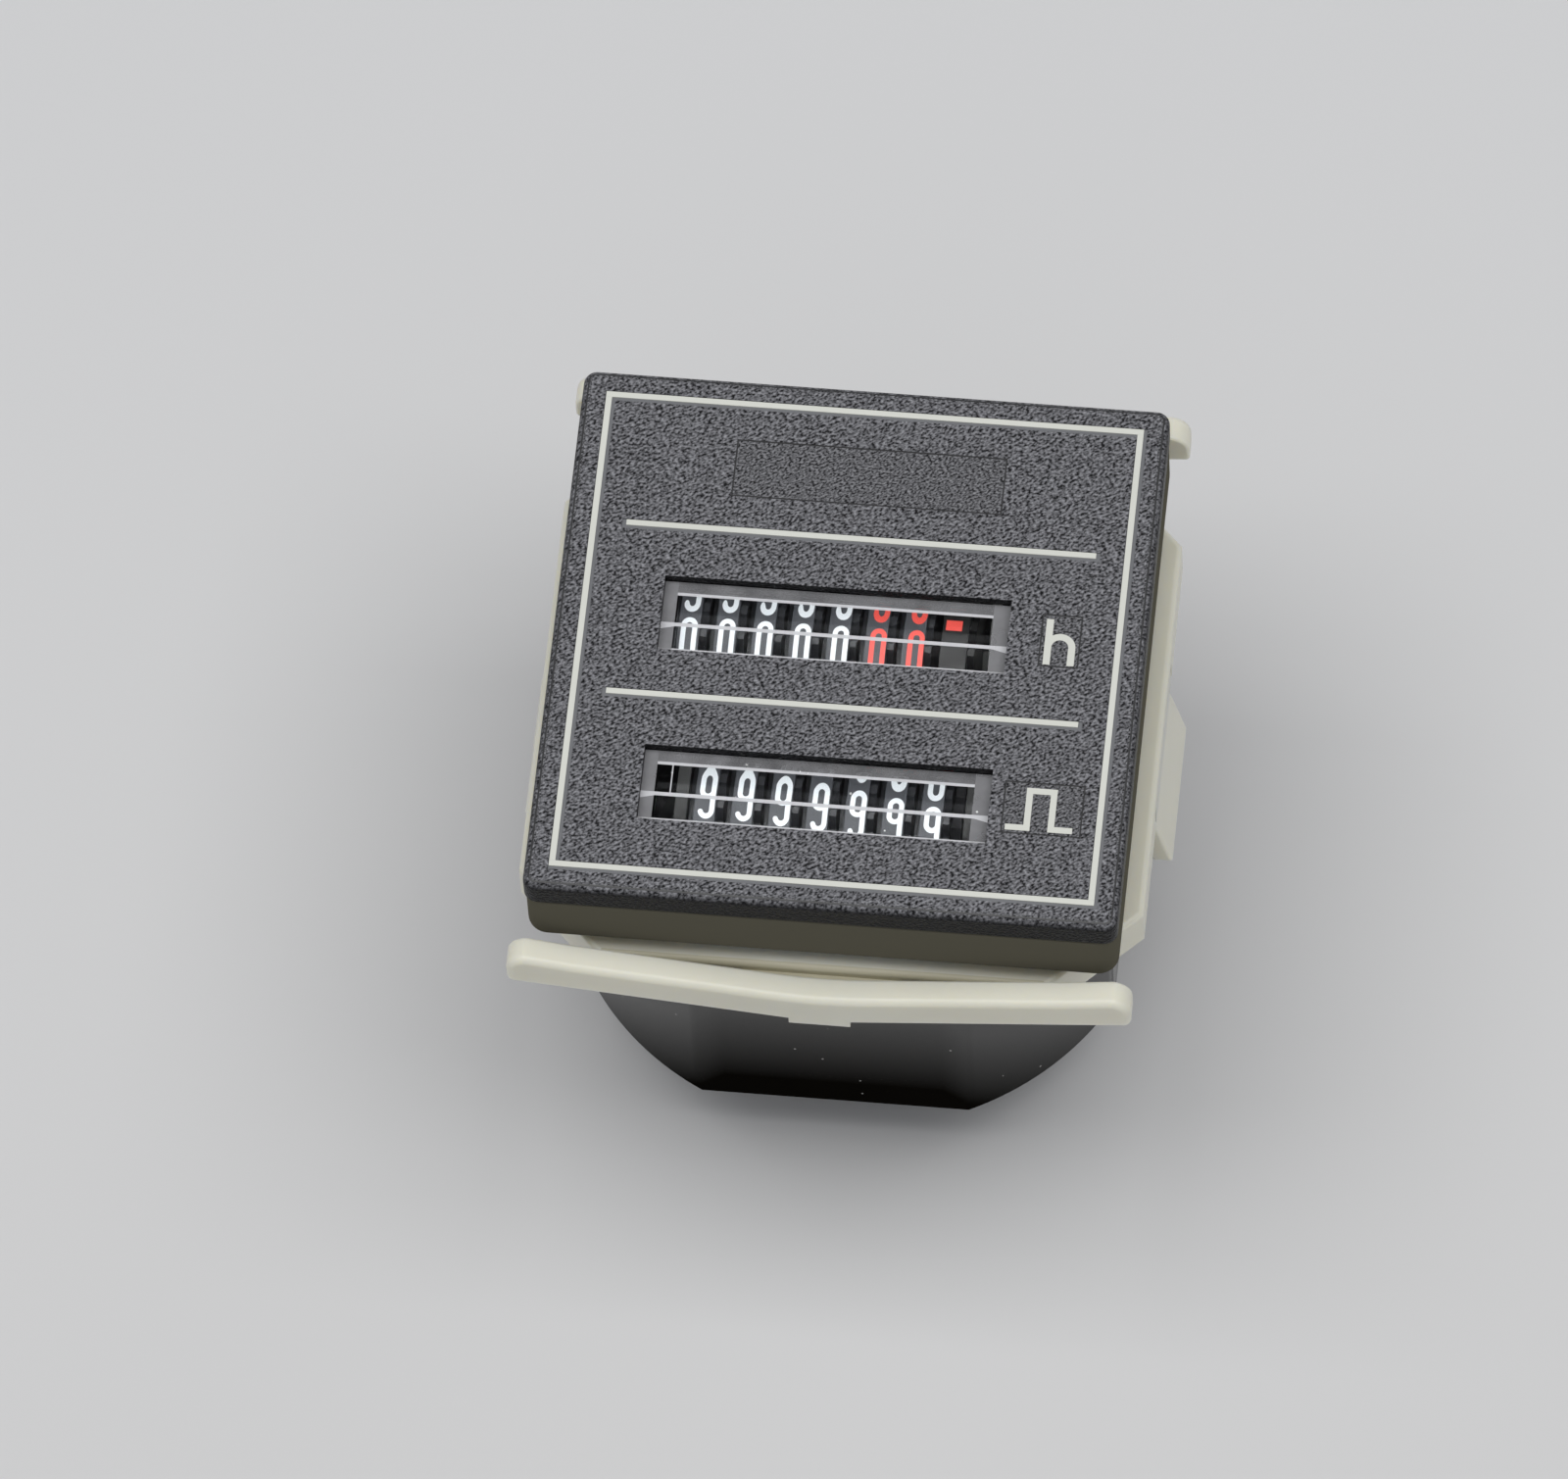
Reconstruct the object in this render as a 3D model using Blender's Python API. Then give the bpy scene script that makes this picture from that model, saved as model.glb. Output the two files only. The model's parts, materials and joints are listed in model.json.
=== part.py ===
"""Panel hour meter with a pulse counter, face up on its rear blade terminals.

The instrument is a 48 mm square front with two windows on a round body cut by four flats. Behind each
window runs a row of number wheels. The upper row counts hours and is driven by a small motor, the lower
row counts pulses and is driven by an electromagnet. A sprung clamping frame slides on the body from behind.

Metres, +Z up and out of the front face, X along the wheel shafts, origin on the body's axis in the plane
of the terminal tips. Depths are measured from the front face into the body.
"""

import math

import bmesh
import bpy
from mathutils import Matrix

MM = 0.001

# Gaps between pieces
SEAT = 0.3 * MM
LENS_SEAT = 0.2 * MM
RUNNING = 0.12 * MM
BORE_CLEARANCE = 0.2 * MM

# Front cap
FACE_SIZE = 48.0 * MM
CAP_CORNER = 1.5 * MM
CAP_EDGE = 0.7 * MM
CAP_PLATE = 0.8 * MM
CAP_WALL = 1.1 * MM
CAP_SKIRT = 2.7 * MM
WINDOW_WIDTH = 28.2 * MM
WINDOW_HEIGHT = 6.8 * MM
WINDOW_X = -1.33 * MM
HOUR_ROW_Y = 1.9 * MM
COUNT_ROW_Y = -13.7 * MM

# Window lenses
LENS_RIM = 1.1 * MM
LENS_PLATE = 1.0 * MM
LENS_BULGE = 1.1 * MM
LENS_MARGIN = 1.55 * MM
LENS_WEB = 0.3 * MM
LENS_LAP = 0.1 * MM
LENS_RIB_RADIUS = 5.0 * MM
LENS_RIB_SHIFT = 1.4 * MM
LENS_RIB_LOW = 2.8 * MM
LENS_RIB_HIGH = 2.6 * MM
LENS_TO_DRUM = 0.5 * MM

# Housing
FLANGE_INSET = 0.3 * MM
FLANGE_DEPTH = 8.2 * MM
RIM_WALL = 1.2 * MM
RIM_RISE = 0.8 * MM
FLANGE_FLOOR = 1.2 * MM
BODY_WALL = 1.0 * MM
REAR_WALL = 1.2 * MM
FLAT_CUT = 2.6 * MM
WORKS_CLEARANCE = 0.4 * MM
RATCHET_PITCH = 2.0 * MM
RATCHET_HEIGHT = 0.4 * MM
RATCHET_WIDTH = 12.0 * MM
RATCHET_START = 14.0 * MM

# Blade terminals
BLADE_REACH = 8.0 * MM
BLADE_WIDTH = 6.3 * MM
BLADE_THICK = 0.8 * MM
BLADE_HEAD = 8.2 * MM
BLADE_HOLE = 0.8 * MM
BLADE_HOLE_FROM_TIP = 3.2 * MM
BLADE_TIP_CHAMFER = 1.0 * MM
BLADE_X = 8.4 * MM
BLADE_Y = 12.0 * MM

# Clamping frame
CLAMP_GAP = 0.4 * MM
CLAMP_SIDE = 25.4 * MM
CLAMP_CORNER = 6.5 * MM
CLAMP_RING_TOP = 12.0 * MM
CLAMP_RING_HEIGHT = 4.5 * MM
CLAMP_LEAF_SIDE_HEIGHT = 1.9 * MM
LEAF_LENGTH = 51.0 * MM
LEAF_GAP = 1.4 * MM
LEAF_THICK = 2.3 * MM
LEAF_END_DEPTH = 6.8 * MM
LEAF_BOW = 2.2 * MM
LEAF_HEIGHT = 3.2 * MM
LEAF_CORNER = 1.8 * MM
LEAF_LUG_WIDTH = 5.2 * MM
LEAF_LUG_DROP = 1.2 * MM
LEAF_ROOT_WIDTH = 13.0 * MM
LEAF_ROOT_INSET = 0.3 * MM
LATCH_WIDTH = 12.7 * MM
LATCH_SLOT = 0.8 * MM
LATCH_SLOT_HEIGHT = 2.6 * MM
LATCH_DROP = 6.0 * MM
LATCH_FLARE = 1.4 * MM
LATCH_THICK = 1.6 * MM
LATCH_STEP = 0.2 * MM

# Number wheels
WHEEL_PITCH = 3.05 * MM
WHEEL_COUNT = 7
DRUM_FACETS = 20
DRUM_RADIUS = 6.9 * MM
DRUM_WIDTH = 1.8 * MM
RING_WIDTH = 0.55 * MM
CARRY_RADIUS = 5.1 * MM
CARRY_WIDTH = 0.5 * MM
HOUR_FIRST_X = -13.3 * MM
COUNT_FIRST_X = -10.3 * MM
INDICATOR_X = 8.3 * MM
INDICATOR_WIDTH = 2.2 * MM
WHEEL_SHAFT_RADIUS = 0.75 * MM
PINION_SHAFT_RADIUS = 0.5 * MM

# Gear teeth, shared by the rings and the pinions
MODULE = 0.6 * MM
RING_TEETH = 20
PINION_TEETH = 8
IDLER_TEETH = 16
TOOTH_ABOVE = 0.42 * MM
TOOTH_BELOW = 0.72 * MM
TOOTH_TIP_SHARE = 0.11

# Hours drive
IDLER_ANGLE = math.radians(60.0)
MOTOR_ANGLE = math.radians(57.0)
IDLER_WIDTH = 1.0 * MM
MOTOR_RADIUS = 4.8 * MM
MOTOR_LENGTH = 10.0 * MM
MOTOR_SHAFT_IN = 5.0 * MM

# Works frames
PLATE_THICK = 1.0 * MM
PLATE_FRONT = 4.6 * MM
BRIDGE_THICK = 1.2 * MM
FRAME_HALF = 5.3 * MM
HOUR_FRAME_REACH = 14.5 * MM

# Circuit board
BOARD_THICK = 1.2 * MM
BOARD_LIFT = 5.6 * MM
BOARD_GAP = 2.1 * MM

# Counting magnet
MAGNET_OFFSET = 0.5 * MM
YOKE_HEIGHT = 9.4 * MM
YOKE_HALF_WIDTH = 4.2 * MM
YOKE_THICK = 1.0 * MM
YOKE_OUTER = 5.4 * MM
YOKE_INNER = 4.6 * MM
CORE_RADIUS = 1.7 * MM
CORE_SINK = 0.2 * MM
COIL_RADIUS = 4.0 * MM
COIL_SINK = 0.9 * MM
COIL_FLANGE = 0.7 * MM
COIL_WAIST = 3.5 * MM
ARMATURE_ROOM = 0.88 * MM
ARMATURE_THICK = 0.8 * MM
ARMATURE_TAIL_REACH = 1.9 * MM
ARMATURE_TAIL_HALF = 1.0 * MM
PAWL_THICK = 0.8 * MM
PAWL_LEAD = 0.9 * MM
PAWL_HOOK = 0.2 * MM
RATCHET_WHEEL_RADIUS = 5.4 * MM
RATCHET_WHEEL_ROOT = 4.5 * MM
RATCHET_WHEEL_WIDTH = 0.8 * MM
RATCHET_WHEEL_TEETH = 10
SPRING_OFFSET = 1.3 * MM
SPRING_REACH = 6.1 * MM
SPRING_RADIUS = 0.65 * MM
SPRING_WIRE = 0.15 * MM
SPRING_TURNS = 5
SPRING_POINTS_A_TURN = 8

# Places that follow from the sizes above
LENS_FRONT = CAP_PLATE + LENS_SEAT
LENS_REAR = LENS_FRONT + LENS_PLATE
LENS_CREST = LENS_REAR + LENS_BULGE
WHEEL_DEPTH = LENS_CREST + LENS_TO_DRUM + DRUM_RADIUS
RING_PITCH_RADIUS = RING_TEETH * MODULE / 2
PINION_PITCH_RADIUS = PINION_TEETH * MODULE / 2
IDLER_PITCH_RADIUS = IDLER_TEETH * MODULE / 2
PINION_DEPTH = WHEEL_DEPTH + RING_PITCH_RADIUS + PINION_PITCH_RADIUS
IDLER_DISTANCE = RING_PITCH_RADIUS + PINION_PITCH_RADIUS
IDLER_Y = HOUR_ROW_Y + IDLER_DISTANCE * math.sin(IDLER_ANGLE)
IDLER_DEPTH = WHEEL_DEPTH + IDLER_DISTANCE * math.cos(IDLER_ANGLE)
MOTOR_DISTANCE = IDLER_PITCH_RADIUS + PINION_PITCH_RADIUS
MOTOR_Y = IDLER_Y + MOTOR_DISTANCE * math.sin(MOTOR_ANGLE)
MOTOR_DEPTH = IDLER_DEPTH + MOTOR_DISTANCE * math.cos(MOTOR_ANGLE)
BRIDGE_DEPTH = MOTOR_DEPTH + MOTOR_RADIUS + SEAT
ARMATURE_FRONT = BRIDGE_DEPTH + BRIDGE_THICK + ARMATURE_ROOM
ARMATURE_REAR = ARMATURE_FRONT + ARMATURE_THICK
YOKE_TOP = ARMATURE_REAR + SEAT
CORE_TOP = YOKE_TOP + CORE_SINK
COIL_TOP = CORE_TOP + COIL_SINK
SPRING_LUG_DEPTH = YOKE_TOP + SPRING_REACH
YOKE_REAR = YOKE_TOP + YOKE_HEIGHT
FLOOR_DEPTH = YOKE_REAR + SEAT
BODY_DEPTH = FLOOR_DEPTH + REAR_WALL
BOARD_DEPTH = FLOOR_DEPTH - BOARD_LIFT
FACE_Z = BLADE_REACH + BODY_DEPTH
BODY_FLAT = DRUM_RADIUS + WORKS_CLEARANCE + BODY_WALL - COUNT_ROW_Y
BODY_RADIUS = BODY_FLAT + FLAT_CUT
LEAF_INNER_Y = FACE_SIZE / 2 - FLANGE_INSET + LEAF_GAP
HOUR_FRAME_LOW_Y = HOUR_ROW_Y - FRAME_HALF
HOUR_FRAME_HIGH_Y = HOUR_ROW_Y + HOUR_FRAME_REACH
COUNT_FRAME_LOW_Y = COUNT_ROW_Y - FRAME_HALF
COUNT_FRAME_HIGH_Y = COUNT_ROW_Y + FRAME_HALF
BOARD_LOW_Y = COUNT_FRAME_HIGH_Y + BOARD_GAP
MAGNET_Y = COUNT_ROW_Y + MAGNET_OFFSET
YOKE_OUTER_Y = MAGNET_Y - YOKE_OUTER
YOKE_INNER_Y = MAGNET_Y + YOKE_INNER
ARMATURE_TAIL_Y = YOKE_OUTER_Y - ARMATURE_TAIL_REACH
SPRING_Y = YOKE_OUTER_Y - SPRING_OFFSET
COUNT_LAST_X = COUNT_FIRST_X + (WHEEL_COUNT - 1) * WHEEL_PITCH
WHEEL_LEFT = DRUM_WIDTH / 2 + CARRY_WIDTH
PINION_WIDTH = WHEEL_PITCH - DRUM_WIDTH - 2 * RUNNING
IDLER_PINION_X = INDICATOR_X + INDICATOR_WIDTH / 2 + RUNNING
IDLER_GEAR_X = IDLER_PINION_X + IDLER_WIDTH
IDLER_END_X = IDLER_GEAR_X + IDLER_WIDTH
RATCHET_WHEEL_X = COUNT_LAST_X + DRUM_WIDTH / 2 + RING_WIDTH + RUNNING
HOUR_PLATE_LEFT = HOUR_FIRST_X - WHEEL_LEFT - RUNNING - PLATE_THICK
HOUR_PLATE_RIGHT = IDLER_END_X + 2 * RUNNING
COUNT_PLATE_LEFT = COUNT_FIRST_X - WHEEL_LEFT - RUNNING - PLATE_THICK
COUNT_PLATE_RIGHT = RATCHET_WHEEL_X + RATCHET_WHEEL_WIDTH + 2 * RUNNING
HINGE_Y = YOKE_OUTER_Y + YOKE_THICK / 2
PAWL_Y = COUNT_ROW_Y + RATCHET_WHEEL_RADIUS + SEAT
PAWL_TOP = WHEEL_DEPTH - PAWL_LEAD


def z_at(depth):
    """World height of a plane that lies a depth behind the front face."""
    return FACE_Z - depth


# Mesh tools

def mesh_from_bmesh(name, shape):
    """Turn a bmesh into a mesh and free it."""
    mesh = bpy.data.meshes.new(name)
    shape.to_mesh(mesh)
    shape.free()
    return mesh


def block(x_low, x_high, y_low, y_high, depth_front, depth_rear):
    """Box between two x, two y and two depths."""
    shape = bmesh.new()
    bmesh.ops.create_cube(shape, size=1.0)
    size = Matrix.Diagonal((x_high - x_low, y_high - y_low, depth_rear - depth_front, 1.0))
    centre = ((x_low + x_high) / 2, (y_low + y_high) / 2, z_at((depth_front + depth_rear) / 2))
    bmesh.ops.transform(shape, matrix=Matrix.Translation(centre) @ size, verts=shape.verts)
    return mesh_from_bmesh("block", shape)


def rounded_block(side, corner, depth_front, depth_rear, edge=0.0):
    """Square plate on the body's axis with round corners in plan and, if asked, a round front edge."""
    shape = bmesh.new()
    bmesh.ops.create_cube(shape, size=1.0)
    size = Matrix.Diagonal((side, side, depth_rear - depth_front, 1.0))
    centre = (0.0, 0.0, z_at((depth_front + depth_rear) / 2))
    bmesh.ops.transform(shape, matrix=Matrix.Translation(centre) @ size, verts=shape.verts)
    upright = [e for e in shape.edges if abs(e.verts[0].co.z - e.verts[1].co.z) > edge + MM * 0.1]
    bmesh.ops.bevel(shape, geom=upright, offset=corner, segments=4, profile=0.5, affect="EDGES")
    if edge > 0.0:
        top = [e for e in shape.edges if min(v.co.z for v in e.verts) > z_at(depth_front) - MM * 0.01]
        bmesh.ops.bevel(shape, geom=top, offset=edge, segments=3, profile=0.5, affect="EDGES")
    return mesh_from_bmesh("rounded_block", shape)


def rod(radius, length, segments, along="Z", start=(0.0, 0.0, 0.0)):
    """Cylinder that starts at a point and runs along X or Z."""
    shape = bmesh.new()
    bmesh.ops.create_cone(
        shape, cap_ends=True, segments=segments, radius1=radius, radius2=radius, depth=length
    )
    bmesh.ops.translate(shape, vec=(0.0, 0.0, length / 2), verts=shape.verts)
    if along == "X":
        turn = Matrix.Rotation(math.radians(90.0), 4, "Y")
        bmesh.ops.transform(shape, matrix=turn, verts=shape.verts)
    bmesh.ops.translate(shape, vec=start, verts=shape.verts)
    return mesh_from_bmesh("rod", shape)


def plate(outlines, thickness, placing=Matrix.Identity(4)):
    """Flat plate from closed outlines in its own XY plane, the first the edge and the rest holes."""
    curve = bpy.data.curves.new("outline", "CURVE")
    curve.dimensions = "2D"
    curve.fill_mode = "BOTH"
    curve.extrude = thickness / 2
    for points in outlines:
        spline = curve.splines.new("POLY")
        spline.points.add(len(points) - 1)
        for point, (x, y) in zip(spline.points, points):
            point.co = (x, y, 0.0, 1.0)
        spline.use_cyclic_u = True
    holder = bpy.data.objects.new("outline", curve)
    bpy.context.scene.collection.objects.link(holder)
    evaluated = holder.evaluated_get(bpy.context.evaluated_depsgraph_get())
    mesh = bpy.data.meshes.new_from_object(evaluated)
    bpy.data.objects.remove(holder)
    bpy.data.curves.remove(curve)
    shape = bmesh.new()
    shape.from_mesh(mesh)
    bpy.data.meshes.remove(mesh)
    bmesh.ops.remove_doubles(shape, verts=shape.verts, dist=1e-6)
    bmesh.ops.recalc_face_normals(shape, faces=shape.faces)
    bmesh.ops.transform(shape, matrix=placing, verts=shape.verts)
    return mesh_from_bmesh("plate", shape)


def boolean(base, operands, operation):
    """Join meshes to a base mesh, or cut them from it."""
    holder = bpy.data.objects.new("base", base)
    bpy.context.scene.collection.objects.link(holder)
    tools = []
    for operand in operands:
        tool = bpy.data.objects.new("tool", operand)
        bpy.context.scene.collection.objects.link(tool)
        tools.append(tool)
        step = holder.modifiers.new("step", "BOOLEAN")
        step.operation = operation
        step.solver = "EXACT"
        step.object = tool
    evaluated = holder.evaluated_get(bpy.context.evaluated_depsgraph_get())
    mesh = bpy.data.meshes.new_from_object(evaluated)
    for item in tools + [holder]:
        bpy.data.objects.remove(item)
    return mesh


def join(*meshes):
    """One mesh from several that overlap."""
    return boolean(meshes[0], meshes[1:], "UNION")


def cut(base, *cutters):
    """A mesh with others cut out of it."""
    return boolean(base, cutters, "DIFFERENCE")


def make_material(name, colour, roughness, metallic=0.0, alpha=1.0):
    """Principled material of one colour."""
    material = bpy.data.materials.new(name)
    material.use_nodes = True
    shader = material.node_tree.nodes["Principled BSDF"]
    shader.inputs["Base Color"].default_value = (*colour, 1.0)
    shader.inputs["Roughness"].default_value = roughness
    shader.inputs["Metallic"].default_value = metallic
    shader.inputs["Alpha"].default_value = alpha
    return material


def add_part(name, mesh, material, location=(0.0, 0.0, 0.0), rotation=(0.0, 0.0, 0.0), smooth=False):
    """Put a named piece into the object's collection."""
    mesh.name = name
    mesh.materials.clear()
    mesh.materials.append(material)
    if smooth:
        mesh.shade_smooth()
        mesh.set_sharp_from_angle(angle=math.radians(30.0))
    part = bpy.data.objects.new(name, mesh)
    part.location = location
    part.rotation_euler = rotation
    bpy.data.collections["hour_meter"].objects.link(part)
    return part


# Outlines

def arc(radius, start, end, steps):
    """Points on a circle round the origin from one angle to another, both included."""
    angles = [start + (end - start) * i / steps for i in range(steps + 1)]
    return [(radius * math.cos(a), radius * math.sin(a)) for a in angles]


def circle_with_flats(radius, flat, steps=8):
    """Circle cut by four flats, at the same distance on X and Y."""
    half = math.acos(flat / radius)
    points = []
    for quarter in range(4):
        turn = quarter * math.pi / 2
        points += arc(radius, turn + half, turn + math.pi / 2 - half, steps)
    return points


def gear_outline(teeth, tooth_angle=0.0):
    """Gear edge with straight-sided teeth, one of them centred on one angle."""
    tip = teeth * MODULE / 2 + TOOTH_ABOVE
    root = teeth * MODULE / 2 - TOOTH_BELOW
    step = 2 * math.pi / teeth
    tip_half = step * TOOTH_TIP_SHARE / 2
    points = []
    for i in range(teeth):
        centre = tooth_angle + i * step
        for radius, angle in ((tip, centre - tip_half), (tip, centre + tip_half), (root, centre + step / 2)):
            points.append((radius * math.cos(angle), radius * math.sin(angle)))
    return points


def meshed_tooth_angle(tooth_angle, direction, teeth, mate_teeth):
    """Angle of one tooth of the mate that lies in a direction from a gear, so that the two mesh."""
    step = 2 * math.pi / teeth
    nearest = tooth_angle + round((direction - tooth_angle) / step) * step
    gap = direction + math.pi - (nearest - direction) * teeth / mate_teeth
    return gap + math.pi / mate_teeth


# Turned and geared pieces are made round their own Z and laid along X by this rotation.
# It takes their own X to the rear of the body and their own Y to the body's Y.
ALONG_X = (0.0, math.pi / 2, 0.0)


def bore(radius, low, high):
    """Cutter for a hole along a wheel's own axis."""
    return rod(radius, high - low, 8, start=(0.0, 0.0, low))


# Case

def make_front_cap(material):
    """Moulded cap: face plate with two windows and a skirt that fits over the housing's rim."""
    body = rounded_block(FACE_SIZE, CAP_CORNER, 0.0, CAP_SKIRT, CAP_EDGE)
    hollow = rounded_block(FACE_SIZE - 2 * CAP_WALL, CAP_CORNER / 2, CAP_PLATE, CAP_SKIRT + MM)
    windows = []
    for row_y in (HOUR_ROW_Y, COUNT_ROW_Y):
        windows.append(block(
            WINDOW_X - WINDOW_WIDTH / 2, WINDOW_X + WINDOW_WIDTH / 2,
            row_y - WINDOW_HEIGHT / 2, row_y + WINDOW_HEIGHT / 2,
            -MM, CAP_PLATE + MM,
        ))
    add_part("front_cap", cut(body, hollow, *windows), material)


def make_lens(name, row_y, material):
    """Window: flat plate behind the cap with a convex rib in a pocket, which magnifies the figures upright."""
    rim = block(
        WINDOW_X - WINDOW_WIDTH / 2 - LENS_RIM, WINDOW_X + WINDOW_WIDTH / 2 + LENS_RIM,
        row_y - WINDOW_HEIGHT / 2 - LENS_RIM, row_y + WINDOW_HEIGHT / 2 + LENS_RIM,
        LENS_FRONT, LENS_REAR,
    )
    rib_width = WINDOW_WIDTH - 2 * LENS_MARGIN
    pocket = block(
        WINDOW_X - rib_width / 2, WINDOW_X + rib_width / 2,
        row_y - LENS_RIB_LOW, row_y + LENS_RIB_HIGH,
        LENS_FRONT + LENS_WEB, LENS_REAR + MM,
    )
    # The arc is drawn with X as the depth and Y across the window, and its centre is shifted towards -Y.
    low = math.asin((LENS_RIB_SHIFT - LENS_RIB_LOW - LENS_LAP) / LENS_RIB_RADIUS)
    high = math.asin((LENS_RIB_SHIFT + LENS_RIB_HIGH) / LENS_RIB_RADIUS)
    centre_depth = LENS_CREST - LENS_RIB_RADIUS
    curve = [(centre_depth + x, y - LENS_RIB_SHIFT) for x, y in arc(LENS_RIB_RADIUS, low, high, 16)]
    web_middle = LENS_FRONT + LENS_WEB / 2
    top = (web_middle, LENS_RIB_HIGH - 2 * LENS_LAP)
    outline = [(web_middle, -LENS_RIB_LOW - LENS_LAP)] + curve[:-1] + [top]
    lay = Matrix.Rotation(math.pi / 2, 4, "Y")
    rib = plate([outline], rib_width + 2 * LENS_LAP, Matrix.Translation((WINDOW_X, row_y, FACE_Z)) @ lay)
    add_part(name, join(cut(rim, pocket), rib), material)


def saw_strip(side, flat, width):
    """Row of ratchet teeth down one side flat, for the clamping frame's latch."""
    teeth = int((BODY_DEPTH - MM - RATCHET_START) / RATCHET_PITCH)
    inner = flat - BODY_WALL / 2
    points = [(side * inner, z_at(RATCHET_START))]
    for i in range(teeth):
        top = RATCHET_START + i * RATCHET_PITCH
        points.append((side * flat, z_at(top)))
        points.append((side * (flat + RATCHET_HEIGHT), z_at(top + RATCHET_PITCH * 0.8)))
        points.append((side * flat, z_at(top + RATCHET_PITCH * 0.95)))
    points.append((side * inner, z_at(RATCHET_START + teeth * RATCHET_PITCH)))
    return plate([points], width, Matrix.Rotation(math.pi / 2, 4, "X"))


def make_housing(material):
    """Moulded body: square flange with a rim for the cap, round body with four flats, rear wall."""
    flange = rounded_block(FACE_SIZE - 2 * FLANGE_INSET, CAP_CORNER, CAP_SKIRT + LENS_SEAT, FLANGE_DEPTH)
    rim_side = FACE_SIZE - 2 * CAP_WALL - 2 * SEAT
    rim = rounded_block(rim_side, CAP_CORNER / 2, CAP_SKIRT - RIM_RISE, CAP_SKIRT + MM)
    length = BODY_DEPTH - FLANGE_DEPTH + FLANGE_FLOOR / 2
    body = plate(
        [circle_with_flats(BODY_RADIUS, BODY_FLAT)], length,
        Matrix.Translation((0.0, 0.0, z_at(BODY_DEPTH - length / 2))),
    )
    saws = [saw_strip(side, BODY_FLAT, RATCHET_WIDTH) for side in (-1, 1)]
    solid = join(flange, rim, body, *saws)
    front_hollow = rounded_block(rim_side - 2 * RIM_WALL, CAP_CORNER / 2, 0.0, FLANGE_DEPTH - FLANGE_FLOOR)
    hollow_length = FLOOR_DEPTH - CAP_SKIRT
    hollow = plate(
        [circle_with_flats(BODY_RADIUS - BODY_WALL, BODY_FLAT - BODY_WALL)], hollow_length,
        Matrix.Translation((0.0, 0.0, z_at(FLOOR_DEPTH - hollow_length / 2))),
    )
    slot_x = BLADE_THICK / 2 + BORE_CLEARANCE
    slot_y = BLADE_WIDTH / 2 + BORE_CLEARANCE
    slots = []
    for x, y in terminal_places():
        slots.append(block(x - slot_x, x + slot_x, y - slot_y, y + slot_y, FLOOR_DEPTH - MM, BODY_DEPTH + MM))
    add_part("housing", cut(solid, front_hollow, hollow, *slots), material, smooth=True)


def terminal_places():
    """The four terminals' places, row by row."""
    return [(x, y) for y in (BLADE_Y, -BLADE_Y) for x in (-BLADE_X, BLADE_X)]


def make_terminals(material):
    """Four flat blades with a chamfered tip, a locating hole and a wider head inside the rear wall."""
    neck = BLADE_REACH + REAR_WALL + SEAT
    head_top = z_at(BOARD_DEPTH + BOARD_THICK + SEAT)
    half = BLADE_WIDTH / 2
    head = BLADE_HEAD / 2
    outline = [
        (-half + BLADE_TIP_CHAMFER, 0.0), (half - BLADE_TIP_CHAMFER, 0.0),
        (half, BLADE_TIP_CHAMFER), (half, neck), (head, neck), (head, head_top),
        (-head, head_top), (-head, neck), (-half, neck), (-half, BLADE_TIP_CHAMFER),
    ]
    hole = [(x, y + BLADE_HOLE_FROM_TIP) for x, y in arc(BLADE_HOLE, 0.0, math.pi * 1.8, 9)]
    upright = Matrix.Rotation(math.pi / 2, 4, "Z") @ Matrix.Rotation(math.pi / 2, 4, "X")
    mesh = plate([outline, hole], BLADE_THICK, upright)
    for number, (x, y) in enumerate(terminal_places(), start=1):
        add_part(f"terminal_{number}", mesh, material, (x, y, 0.0))


# Clamping frame

def leaf_outline():
    """Edge of one leaf spring in X and Z: bowed bar with round shoulders and a lug at its middle."""
    half = LEAF_LENGTH / 2
    end = z_at(LEAF_END_DEPTH)
    middle = end - LEAF_BOW
    flat_half = half / 4
    top = [(-flat_half, middle), (flat_half, middle)]
    corner = []
    for x, z in arc(LEAF_CORNER, 0.0, math.pi / 2, 4):
        corner.append((half - LEAF_CORNER + x, end - LEAF_CORNER + z))
    right = [(half, end - LEAF_HEIGHT)]
    base = middle - LEAF_HEIGHT
    lug = LEAF_LUG_WIDTH / 2
    foot = [(lug, base), (lug, base - LEAF_LUG_DROP), (-lug, base - LEAF_LUG_DROP), (-lug, base)]
    left = [(-x, z) for x, z in reversed(corner)]
    outline = top + list(reversed(corner)) + right + foot + [(-half, end - LEAF_HEIGHT)]
    return outline + list(reversed(left))


def latch_outline(side):
    """Edge of one side latch in X and Z: tongue that flares out to a grip, with a pawl inside."""
    outer = CLAMP_SIDE - LATCH_STEP
    inner = outer - LATCH_THICK
    top = z_at(CLAMP_RING_TOP + CLAMP_RING_HEIGHT / 2)
    ring_end = z_at(CLAMP_RING_TOP + CLAMP_RING_HEIGHT)
    end = ring_end - LATCH_DROP
    pawl = BODY_FLAT + RATCHET_HEIGHT + CLAMP_GAP / 2
    middle = ring_end - LATCH_DROP * 0.3
    points = [
        (inner, top), (outer, top), (outer, ring_end), (outer + LATCH_FLARE, end),
        (outer + LATCH_FLARE - LATCH_THICK, end), (inner, middle - MM), (pawl, middle - MM),
        (pawl, middle - MM * 0.6), (inner, middle + MM * 0.4),
    ]
    return [(side * x, z) for x, z in points]


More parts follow.
